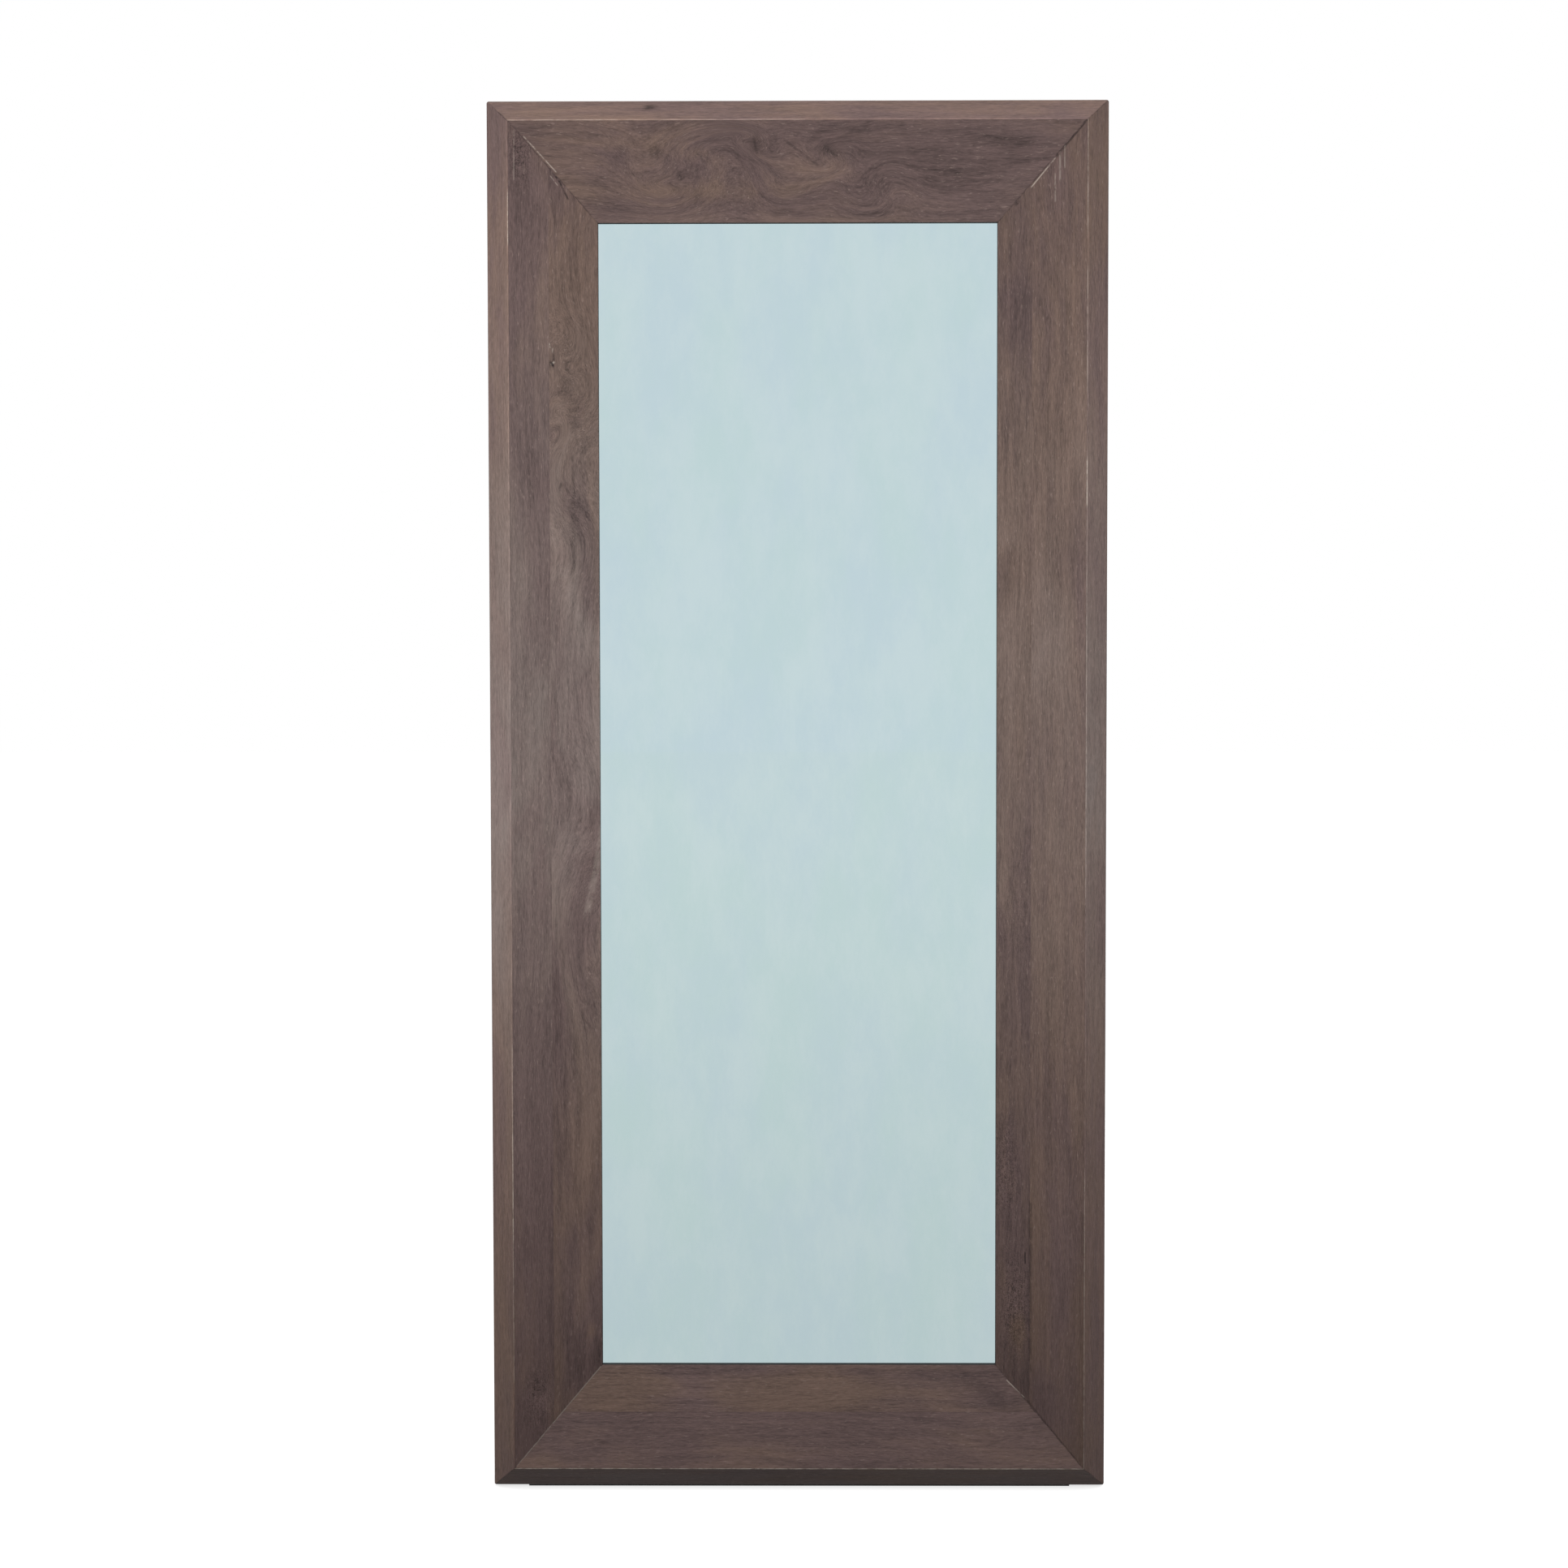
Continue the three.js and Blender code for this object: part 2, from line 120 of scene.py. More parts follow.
def saw(piece, point, waste_side):
    """Cuts the piece along a plane, takes the waste side off and closes the cut."""
    take_up(piece)
    bpy.ops.object.mode_set(mode="EDIT")
    bpy.ops.mesh.select_all(action="SELECT")
    bpy.ops.mesh.bisect(plane_co=point, plane_no=waste_side, use_fill=True, clear_outer=True)
    bpy.ops.object.mode_set(mode="OBJECT")


# %% Router and block plane
def rout(piece, *cutters):
    """Takes each cutter's shape out of the piece."""
    for cutter in cutters:
        take_up(piece)
        pass_of_router = piece.modifiers.new("router", "BOOLEAN")
        pass_of_router.operation = "DIFFERENCE"
        pass_of_router.solver = "EXACT"
        pass_of_router.object = cutter
        bpy.ops.object.modifier_apply(modifier=pass_of_router.name)
        bpy.data.objects.remove(cutter)


def ease(piece, is_chosen, width, segments):
    """Rounds the edges that is_chosen picks."""
    take_up(piece)
    bpy.ops.object.mode_set(mode="EDIT")
    bpy.ops.mesh.select_mode(type="EDGE")
    bpy.ops.mesh.select_all(action="DESELECT")
    mesh = bmesh.from_edit_mesh(piece.data)
    for edge in mesh.edges:
        edge.select_set(is_chosen(edge))
    picked = any(edge.select for edge in mesh.edges)
    bmesh.update_edit_mesh(piece.data)
    if picked:
        bpy.ops.mesh.bevel(offset=width, segments=segments, affect="EDGES")
    bpy.ops.object.mode_set(mode="OBJECT")


# %% [markdown]
# A finished piece is shaded smooth over its rounded edges while its broad faces stay flat, which is
# how sanded and polished wood looks. It then settles in the model: it gets its material, the body
# that it rides on, and the CAD nodes that it stands for, which go out of view.

# %% Polish and settle
def polish(piece, angle=40):
    """Smooth shading on the rounded edges, with the broad faces kept flat."""
    take_up(piece)
    bpy.ops.object.shade_smooth_by_angle(angle=math.radians(angle))
    normals = piece.modifiers.new("flat faces", "WEIGHTED_NORMAL")
    normals.keep_sharp = True
    bpy.ops.object.modifier_apply(modifier=normals.name)


def settle(piece, body, material, slot, *nodes):
    """Gives a finished piece its material, its body and the CAD nodes that it stands for."""
    piece.data.materials.clear()
    piece.data.materials.append(material)
    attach(piece, body)
    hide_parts(*nodes)


# %% [markdown]
# ## The four sides
# Left, right, top and bottom are built alike, so each side gets its own directions: inward from the
# outer edge, back from the ridge, and along the board. A point of a board is then said once, in
# millimetres, and lands on all four sides.

# %% Directions of each side
FRAME_WIDTH = 800
FRAME_HEIGHT = 1800
OUTER = 30  # thickness of an outer board
FACE_DROP = 64  # the face falls this far from the ridge to the sight edge
STILE_FACE = 110  # width of the face as seen from the front
RAIL_FACE = 120
SAME_PLACE = 0.05  # two corners of a section closer than this are one
MM = 0.001
BACK = Vector((0, 1, 0))

board_low, board_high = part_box("outer_board_left")
frame_depth = (board_high.y - board_low.y) / MM
middle = Vector((0, board_low.y, (board_low.z + board_high.z) / 2))


class Side:
    """One side of the frame, measured in millimetres from its outer edge and from the ridge."""

    def __init__(self, name, inward, along, span, length, face, cross_face):
        self.name = name
        self.inward = Vector(inward)
        self.along = Vector(along)
        self.half_span = span / 2
        self.half_length = length / 2
        self.face = face
        self.cross_face = cross_face
        self.slope = math.atan2(FACE_DROP, face)

    def way(self, inward, back, along=0):
        """A direction of this side, in the scene."""
        return self.inward * inward + BACK * back + self.along * along

    def at(self, inward, back, along=0):
        """A place on this side, in the scene."""
        return middle + self.way(inward - self.half_span, back, along) * MM

    def section(self, point):
        """How far inward and how far back a point lies."""
        offset = (point - middle) / MM
        return offset.dot(self.inward) + self.half_span, offset.dot(BACK)

    def runs_at(self, *corners):
        """A test for the long edges that pass through these corners of the section."""

        def chosen(edge):
            ends = [self.section(vertex.co) for vertex in edge.verts]
            return any(
                all(math.dist(end, corner) < SAME_PLACE for end in ends) for corner in corners
            )

        return chosen


RIGHT = (1, 0, 0)
LEFT = (-1, 0, 0)
UP = (0, 0, 1)
DOWN = (0, 0, -1)
FRONT = (0, -1, 0)
left = Side("left", RIGHT, UP, FRAME_WIDTH, FRAME_HEIGHT, STILE_FACE, RAIL_FACE)
right = Side("right", LEFT, DOWN, FRAME_WIDTH, FRAME_HEIGHT, STILE_FACE, RAIL_FACE)
top = Side("top", DOWN, RIGHT, FRAME_HEIGHT, FRAME_WIDTH, RAIL_FACE, STILE_FACE)
bottom = Side("bottom", UP, LEFT, FRAME_HEIGHT, FRAME_WIDTH, RAIL_FACE, STILE_FACE)
sides = (left, right, top, bottom)
print("frame depth", round(frame_depth, 1), "mm; middle of the ridge plane", middle)

# %% [markdown]
# ## Outer boards
# Each outer board is a plank on edge. Its front is chamfered at 45 degrees and leaves a narrow flat
# at the ridge, its ends are mitred, a rebate behind takes the back panel, and the tip of each mitre
# is knocked off by a stroke of sandpaper. The chamfer could also be modelled as a profile and
# swept, but sawing shows each cut on its own and gives clean mitres. Hands wear the outer corner
# most, so its edge is rounded more than the others.

# %% Saw the outer boards
CHAMFER = 28.5
MITRE_GLUE = 0.04  # half the glue line of a mitre
PANEL_REBATE = 12
PANEL_LIP = OUTER - PANEL_REBATE  # wood left beside the panel
PANEL_SHOULDER = 76.6  # the panel lies this far behind the ridge
TIP = 2.4  # taken off the corner of the frame
SPARE = 5  # how far a cutter reaches past the wood
OUTER_CORNER = 1.1 * MM  # how far each kind of edge is eased
RIDGE_EDGE = 0.4 * MM
BACK_EDGE = 0.8 * MM

for side in sides:
    length = side.half_length
    board = block(
        f"bevelled_board_{side.name}", side.at(0, 0, -length), side.at(OUTER, frame_depth, length)
    )
    saw(board, side.at(CHAMFER, 0), side.way(-1, -1))
    for end in (-1, 1):
        saw(board, side.at(0, 0, end * (length - MITRE_GLUE)), side.way(1, 0, end))
        saw(board, side.at(0, 0, end * (length - TIP)), side.way(-1, 0, end))
    rout(
        board,
        block(
            "router",
            side.at(PANEL_LIP, PANEL_SHOULDER, -length - SPARE),
            side.at(OUTER + SPARE, frame_depth + SPARE, length + SPARE),
        ),
    )
    ease(board, side.runs_at((0, CHAMFER)), OUTER_CORNER, 3)
    ease(board, side.runs_at((CHAMFER, 0)), RIDGE_EDGE, 2)
    ease(board, side.runs_at((OUTER, 0)), RIDGE_EDGE / 2, 1)
    ease(board, side.runs_at((0, frame_depth), (PANEL_LIP, frame_depth)), BACK_EDGE, 2)
    polish(board)
    side.outer_board = board
    print(board.name, len(board.data.polygons), "faces")

# %% [markdown]
# ## Face boards
# The wide faces slope back from the ridge. The left, right and bottom faces are two strips glued
# edge to edge, and the top one is a single figured board. A strip starts as a block that would just
# hold it; the saw cuts front, back, glued edge and both mitres, and the router takes the rebate
# that holds the glass. Stile and rail faces differ in width, so their mitre isn't at 45 degrees: it
# runs from the corner of the ridge to the corner of the sight edge.

# %% Saw the face boards
FACE_THICKNESS = 20
FACE_BACK = PANEL_SHOULDER
SIGHT_LIP = 5  # wood in front of the glass
GLASS_REBATE = 12
SEAM_GAP = 0.02  # half the glue line between two strips
SEAT_GAP = 0.1  # between a face board and its outer board
SIGHT_EDGE = 0.5 * MM


def face_board(side, name, from_seam, to_seam):
    """One strip between two distances from the ridge; where to_seam is 0 it ends at the glass."""
    length = side.half_length - OUTER
    sight = OUTER + side.face
    rise = math.tan(side.slope)
    cos, sin = math.cos(side.slope), math.sin(side.slope)
    board = block(name, side.at(OUTER + SEAT_GAP, 0, -length), side.at(sight, FACE_BACK, length))
    saw(board, side.at(OUTER, 0), side.way(sin, -cos))
    saw(board, side.at(OUTER, FACE_THICKNESS / cos), side.way(-sin, cos))
    if from_seam:
        edge = from_seam + SEAM_GAP
        saw(board, side.at(OUTER + edge, edge * rise), side.way(-cos, -sin))
    if to_seam:
        edge = to_seam - SEAM_GAP
        saw(board, side.at(OUTER + edge, edge * rise), side.way(cos, sin))
    run = side.cross_face / side.face
    for end in (-1, 1):
        saw(
            board,
            side.at(OUTER, 0, end * (length - MITRE_GLUE * math.hypot(1, run))),
            side.way(run, 0, end),
        )
    if not to_seam:
        rout(
            board,
            block(
                "router",
                side.at(sight - GLASS_REBATE, FACE_DROP + SIGHT_LIP, -length),
                side.at(sight + SPARE, FACE_BACK + SPARE, length),
            ),
        )
        ease(board, side.runs_at((sight, FACE_DROP)), SIGHT_EDGE, 2)
    polish(board)
    print(board.name, len(board.data.polygons), "faces")
    return board


LEFT_SEAM, RIGHT_SEAM, BOTTOM_SEAM = 49, 67, 65  # millimetres from the ridge
face_boards = {
    "face_left_outer_strip": face_board(left, "sloped_left_outer", 0, LEFT_SEAM),
    "face_left_inner_strip": face_board(left, "sloped_left_inner", LEFT_SEAM, 0),
    "face_right_outer_strip": face_board(right, "sloped_right_outer", 0, RIGHT_SEAM),
    "face_right_inner_strip": face_board(right, "sloped_right_inner", RIGHT_SEAM, 0),
    "face_top_board": face_board(top, "sloped_top", 0, 0),
    "face_bottom_outer_strip": face_board(bottom, "sloped_bottom_outer", 0, BOTTOM_SEAM),
    "face_bottom_inner_strip": face_board(bottom, "sloped_bottom_inner", BOTTOM_SEAM, 0),
}

# %% [markdown]
# ## Shader arithmetic
# A finish is worked out in the shader as a formula over the surface. A small class wraps a node's
# output so that the formula can be written as plain arithmetic, and every other node comes from one
# method. Textures read Object coordinates, which here are the real places in metres, so a pore half
# a millimetre wide stays half a millimetre wide on every board.

# %% Wires
class Wire:
    """An output of a shader node, with arithmetic that adds Math nodes."""

    def __init__(self, finish, socket):
        self.finish = finish
        self.socket = socket

    def out(self, name):
        return Wire(self.finish, self.socket.node.outputs[name])

    def _math(self, operation, *values):
        return self.finish.node("Math", {"operation": operation}, dict(enumerate(values)))

    def __add__(self, other):
        return self._math("ADD", self, other)

    def __sub__(self, other):
        return self._math("SUBTRACT", self, other)

    def __rsub__(self, other):
        return self._math("SUBTRACT", other, self)

    def __mul__(self, other):
        return self._math("MULTIPLY", self, other)

    def __truediv__(self, other):
        return self._math("DIVIDE", self, other)

    def __neg__(self):
        return self._math("MULTIPLY", self, -1)

    def __abs__(self):
        return self._math("ABSOLUTE", self)

    __radd__ = __add__
    __rmul__ = __mul__

    def exp(self):
        return self._math("EXPONENT", self)

    def sine(self):
        return self._math("SINE", self)

    def cosine(self):
        return self._math("COSINE", self)

    def most(self, other):
        return self._math("MAXIMUM", self, other)

    def step(self, low, high):
        """Rises smoothly from 0 at low to 1 at high; low may be the larger."""
        return self.finish.node(
            "MapRange",
            {"interpolation_type": "SMOOTHSTEP"},
            {"Value": self, "From Min": low, "From Max": high},
        )


# %% Finishes
class Finish:
    """A material that is being mixed."""

    def __init__(self, name, **uniform):
        self.material = bpy.data.materials.new(name)
        self.material.use_nodes = True
        self.tree = self.material.node_tree
        self.tree.nodes.clear()
        self.surface = self.tree.nodes.new("ShaderNodeBsdfPrincipled")
        output = self.tree.nodes.new("ShaderNodeOutputMaterial")
        self.tree.links.new(self.surface.outputs[0], output.inputs["Surface"])
        for socket, value in uniform.items():
            self.surface.inputs[socket.replace("_", " ")].default_value = value

    def node(self, kind, settings=None, inputs=None):
        """Adds a node, sets its settings first and then its sockets, and gives its output."""
        made = self.tree.nodes.new("ShaderNode" + kind)
        for setting, value in (settings or {}).items():
            setattr(made, setting, value)
        for key, value in (inputs or {}).items():
            if isinstance(key, int):
                socket = made.inputs[key]
            else:
                socket = next(s for s in made.inputs if s.enabled and s.name == key)
            if isinstance(value, Wire):
                self.tree.links.new(value.socket, socket)
            else:
                socket.default_value = value
        return Wire(self, next(s for s in made.outputs if s.enabled))

    def place(self):
        """The three Object coordinates, in metres."""
        where = self.node("TexCoord").out("Object")
        apart = self.node("SeparateXYZ", None, {"Vector": where})
        return apart.out("X"), apart.out("Y"), apart.out("Z")

    def facing(self):
        """The way the surface faces, as a node with outputs X, Y and Z."""
        normal = self.node("TexCoord").out("Normal")
        return self.node("SeparateXYZ", None, {"Vector": normal})

    def point(self, x, y, z):
        return self.node("CombineXYZ", None, {"X": x, "Y": y, "Z": z})

    def noise(self, point, detail=2.0, roughness=0.5, distortion=0.0):
        """Soft noise about 0, with one wave to each unit of the point."""
        texture = self.node(
            "TexNoise",
            {"noise_dimensions": "3D"},
            {
                "Vector": point,
                "Scale": 1.0,
                "Detail": detail,
                "Roughness": roughness,
                "Distortion": distortion,
            },
        )
        return texture - 0.5

    def blend(self, amount, first, second, way="MIX"):
        """Mixes two colours, each a wire or red, green and blue."""
        settings = {"data_type": "RGBA", "blend_type": way, "clamp_factor": True}
        first, second = (
            colour if isinstance(colour, Wire) else (*colour, 1) for colour in (first, second)
        )
        return self.node("Mix", settings, {"Factor": amount, "A": first, "B": second})

    def feed(self, **sockets):
        """Links each wire to the shader's socket of that name."""
        for name, wire in sockets.items():
            self.tree.links.new(wire.socket, self.surface.inputs[name.replace("_", " ")])

    def relief(self, height, depth):
        """A bump as deep as depth metres where the height is 1."""
        self.feed(Normal=self.node("Bump", None, {"Height": height, "Distance": depth}))

    def mixed(self):
        """Says how many nodes the finish took, and gives its material."""
        print(self.material.name, len(self.tree.nodes), "shader nodes")
        return self.material


# %% Colours
def srgb(red, green, blue):
    """A colour as a picture editor shows it, 0 to 255, turned into light."""
    values = (red / 255, green / 255, blue / 255)
    return tuple(v / 12.92 if v <= 0.04045 else ((v + 0.055) / 1.055) ** 2.4 for v in values)


# %% [markdown]
# ## Stained hardwood
# The frame is a close-grained hardwood under a grey-brown stain. The stain takes unevenly: some of
# the board stays purple grey and some goes olive brown. About a metre up a painted sheen greys the
# boards, standing for the soft reflection of the front lamp.
# On that lie slow bands of growth, narrower streaks, short open pores and pale flecks. A photograph
# wrapped on the boards would repeat and stretch; a formula keeps the grain running along each
# board, through its edges and round its end.

# %% The wood's colours
PURPLE_GREY = srgb(99, 81, 79)
OLIVE_BROWN = srgb(103, 84, 75)
# painted sheen: the grey that stands for the front lamp's soft reflection
SHEEN_GREY = srgb(106, 95, 91)
DARK_STAIN = srgb(50, 38, 37)
PALE_STAIN = srgb(160, 140, 132)
PALE_FILLER = srgb(196, 184, 172)
GLUE_SHADOW = srgb(34, 27, 27)
# painted shade for the lip that faces the glass
LIP_SHADE = (0.006, 0.006, 0.006)
print("stain from", [round(v, 3) for v in PURPLE_GREY], "to", [round(v, 3) for v in OLIVE_BROWN])

# %% [markdown]
# Whatever happens at one place only needs a mask, a number that is 1 there and 0 elsewhere. Three
# kinds are enough: a spot is a soft oval, a window is a stretch between two distances, and a stroke
# is a straight line between two places on the front of the frame. A painted mask would do too, but
# these need no picture and stay sharp from close by.

# %% Spots, windows and strokes
def near(across, length, spot_across, spot_length, wide, long):
    """1 at a spot, falling to 0 round it."""
    from_spot = (across - spot_across) / wide
    along_it = (length - spot_length) / long
    return (-(from_spot * from_spot + along_it * along_it)).exp()


def window(place, start, end, soft):
    """1 between start and end, with soft ends."""
    return place.step(start - soft, start + soft) * place.step(end + soft, end - soft)


def stroke(x, z, start, end, width):
    """1 on a straight line between two places on the front of the frame."""
    reach = math.dist(start, end)
    way_x, way_z = (end[0] - start[0]) / reach, (end[1] - start[1]) / reach
    off = abs((x - start[0]) * way_z - (z - start[1]) * way_x)
    run = (x - start[0]) * way_x + (z - start[1]) * way_z
    return off.step(width, width * 0.3) * window(run, 0, reach, width)


# %% [markdown]
# Grain is never straight. A slow drift and a quicker ripple bend it everywhere. Near a knot the
# distance across the board is squeezed towards the knot's middle, and in a swirl the two directions
# of the board are turned about its eye. Every pattern is drawn in these bent directions, so all of
# them follow the figure, from the widest band to the finest pore.

# %% Grain that bends
DRIFT = 0.05  # metres by which the grain wanders over the length of a board
RIPPLE = 0.008  # and by which it ripples on its way
CURLS = (420, 300)  # to a metre, across and along the grain


def swirled(across, length, eye_across, eye_length, wide, long, turn):
    """The two directions of the board, turned about an eye; the turn fades away from it."""
    angle = near(across, length, eye_across, eye_length, wide, long) * turn
    sine, cosine = angle.sine(), angle.cosine()
    off, run = across - eye_across, length - eye_length
    return off * cosine - run * sine + eye_across, off * sine + run * cosine + eye_length


class Grain:
    """The bent directions of one board, and the noise that is drawn in them."""

    def __init__(self, finish, across, depth, length, seed, figure, knots, swirls):
        self.finish = finish
        self.depth = depth
        self.seed = seed
        drift = finish.noise(finish.point(across * 5, depth * 5 + seed, length * 1.6), 2)
        ripple = finish.noise(finish.point(across * 22, depth * 22 + seed, length * 12), 2)
        bent, run = across + drift * DRIFT + ripple * (RIPPLE * figure), length
        self.dark_eyes = 0.0
        for spot_across, spot_length, wide, long, pull in knots:
            close = near(across, length, spot_across, spot_length, wide, long)
            bent = bent - (across - spot_across) * close * pull
            self.dark_eyes = close * close * close + self.dark_eyes
        for swirl in swirls:
            bent, run = swirled(bent, run, *swirl)
        self.bent, self.run = bent, run

    def noise(self, fine, slow, detail=2.0, roughness=0.5, distortion=0.0):
        """Noise with so many waves to a metre across the grain, and so many along it."""
        point = self.finish.point(self.bent * fine, self.depth * fine + self.seed, self.run * slow)
        return self.finish.noise(point, detail, roughness, distortion)

    def curl(self):
        """Crinkled grain, as wood has round a knot."""
        point = self.finish.point(self.bent * CURLS[0], self.seed, self.run * CURLS[1])
        return self.finish.noise(point, 3, 0.6, 1.5)


# %% [markdown]
# The joints show as lines that follow the frame and not the grain. Glue has darkened each mitre,
# filler has left pale strokes beside it, and the ridge is worn pale where the frame has been
# handled. A ragged noise breaks each line up, because an even line looks drawn. The narrow lip that
# faces the glass gets next to no light in the photograph, so painted shade makes it nearly black,
# and the direction in which its surface faces picks it out.

# %% Joints, filler, worn ridge and painted shade on the lip
RIDGE_X = (FRAME_WIDTH / 2 - OUTER) * MM
RIDGE_Z = (FRAME_HEIGHT / 2 - OUTER) * MM
GLUE_LINE = (0.0014, 0.0004)  # metres from the mitre where its shadow ends and where it is full
RIDGE_MIDDLE = 0.0006  # metres outside the joint between outer board and face board
RIDGE_LINE = (0.0009, 0.0003)  # metres from that middle where the wear ends and where it is full
WEAR_END = 0.006  # metres over which a worn stretch fades out


def joint_lines(finish, colour, x, z, length, seed, mitre_run, strokes, ridge_lines):
    """The colour with glue, filler and wear laid over it."""
    out_x = abs(x) - RIDGE_X
    out_z = abs(z - middle.z) - RIDGE_Z
    rail_run, stile_run = (part / math.hypot(*mitre_run) for part in mitre_run)
    mitre = abs(out_z * rail_run - out_x * stile_run)
    ragged = finish.noise(finish.point(x * 90, seed, z * 90), 3, 0.7)
    glue = mitre.step(*GLUE_LINE) * ragged.step(-0.15, 0.15)
    colour = finish.blend(glue * 0.55, colour, GLUE_SHADOW)
    for start, end, width, strength in strokes:
        line = stroke(x, z, start, end, width) * ragged.step(-0.2, 0.05) * abs(strength)
        colour = finish.blend(line, colour, PALE_FILLER if strength > 0 else GLUE_SHADOW)
    ridge = abs(out_x.most(out_z) - RIDGE_MIDDLE).step(*RIDGE_LINE)
    worn = ridge * (ragged.step(-0.15, 0.1) * 0.7 + 0.3)
    for start, end, strength in ridge_lines:
        line = window(length, start, end, WEAR_END) * worn * strength
        colour = finish.blend(line, colour, PALE_FILLER)
    return colour


def painted_lip_shade(finish, colour):
    """The colour with painted shade that makes the lip facing the glass nearly black."""
    facing = finish.facing()
    lip = abs(facing.out("X")).most(abs(facing.out("Z"))).step(0.9, 0.97)
    return finish.blend(lip * 0.9, colour, LIP_SHADE)


# %% [markdown]
# One formula now makes the stain of any board. It adds up how warm and how light each place is: the
# wide patterns decide the hue, all of them together decide the tone, and the finest ones count the
# most, because close grain is what the eye reads as wood. Pores and flecks are then laid on top in
# colours of their own, and the same patterns give the surface its sheen and its slight relief.

# %% The stain
# The painted sheen: a grey laid over the stain where the front lamp's reflection would lie,
# strongest at this height.
SHEEN_HEIGHT = 1.0  # metres above the floor, where the boards are greyest
SHEEN_REACH = 0.42
DARKEST = 0.2  # no pattern takes the stain below this share of its tone
WOOD_ROUGHNESS = 0.56
WOOD_RELIEF = 0.0002


def stained_wood(
    name,
    grain,
    seed,
    tone=1.0,
    warmth=0.5,
    figure=1.0,
    sheen_share=1.0,
    knots=(),
    swirls=(),
    patches=(),
    curls=(),
    strokes=(),
    ridge_lines=(),
    mitre_run=(STILE_FACE, RAIL_FACE),
    over_glass=True,
):
    """A board's finish. All lengths are in metres.

    knots: place across and along, width, length, pull towards the middle
    swirls: place across and along, width, length, turn in radians
    patches: place across and along, width, length, how much warmer, how much lighter
    curls: place across and along, width, length, strength
    strokes: start and end as x and z, width, strength, which is below 0 for a dark stroke
    ridge_lines: start and end along the board, strength
    """
    finish = Finish(name, Specular_IOR_Level=0.18)
    x, y, z = finish.place()
    across, length = (x, z) if grain == "upright" else (z, x)
    figured = Grain(finish, across, y, length, seed, figure, knots, swirls)

    # Waves to a metre across and along the grain, then detail, roughness and distortion.
    clouds = figured.noise(14, 5, 3, 0.55, 0.5)
    bands = figured.noise(75, 6, 3, 0.6, 0.4)
    streaks = figured.noise(260, 14, 3, 0.65)
    pores = figured.noise(560, 70, 3, 0.65)
    flecks = figured.noise(420, 110, 2, 0.6)
    fibres = figured.noise(1000, 110, 2, 0.6)
    veins = abs(figured.noise(34, 4, 3, 0.5, 0.3)).step(0.035, 0.0)

    # Each pattern's weight says how much it counts.
    warm = clouds * 2.2 + bands * 0.8 + warmth
    light = (clouds + bands) * (0.6 * figure) - veins * (0.1 * figure)
    light = light + streaks * 0.65 + pores * 0.85 + fibres - figured.dark_eyes * 0.35
    for spot_across, spot_length, wide, long, warmer, lighter in patches:
        close = near(across, length, spot_across, spot_length, wide, long)
        warm = warm + close * warmer
        light = light + close * lighter
    curl = figured.curl() if curls else None
    for spot_across, spot_length, wide, long, strength in curls:
        close = near(across, length, spot_across, spot_length, wide, long)
        light = light + close * curl * strength

    colour = finish.blend(warm.step(0.0, 1.0), PURPLE_GREY, OLIVE_BROWN)
    # painted sheen, strongest about a metre up
    from_middle = (z - SHEEN_HEIGHT) / SHEEN_REACH
    painted_sheen = (-(from_middle * from_middle)).exp() * (clouds * 2.0 + 0.7) * sheen_share
    colour = finish.blend(painted_sheen, colour, SHEEN_GREY)
    colour = finish.blend(1.0, colour, (light + 1.0).most(DARKEST) * tone, "MULTIPLY")
    open_pores = pores.step(0.1, 0.26)
    colour = finish.blend(open_pores * 0.45, colour, DARK_STAIN)
    colour = finish.blend(flecks.step(0.1, 0.26) * 0.24, colour, PALE_STAIN)
    colour = joint_lines(finish, colour, x, z, length, seed, mitre_run, strokes, ridge_lines)
    # painted shade on the lip that faces the glass
    if over_glass:
        colour = painted_lip_shade(finish, colour)

    roughness = bands * 0.2 + open_pores * 0.14 + WOOD_ROUGHNESS
    finish.feed(Base_Color=colour, Roughness=roughness)
    finish.relief(bands * 0.2 + streaks * 0.4 - open_pores * 0.4, WOOD_RELIEF)
    return finish.mixed()


# %% [markdown]
# Each board now gets its own character, as timber does: where its knots and swirls lie, where it is
# paler, darker or warmer, how much painted sheen greys it, and where a hand has left a mark. The
# places come from the photograph. Upright boards are measured across X and along Z, level ones
# across
# Z and along X, and every board has a seed of its own, so that no two share their grain.

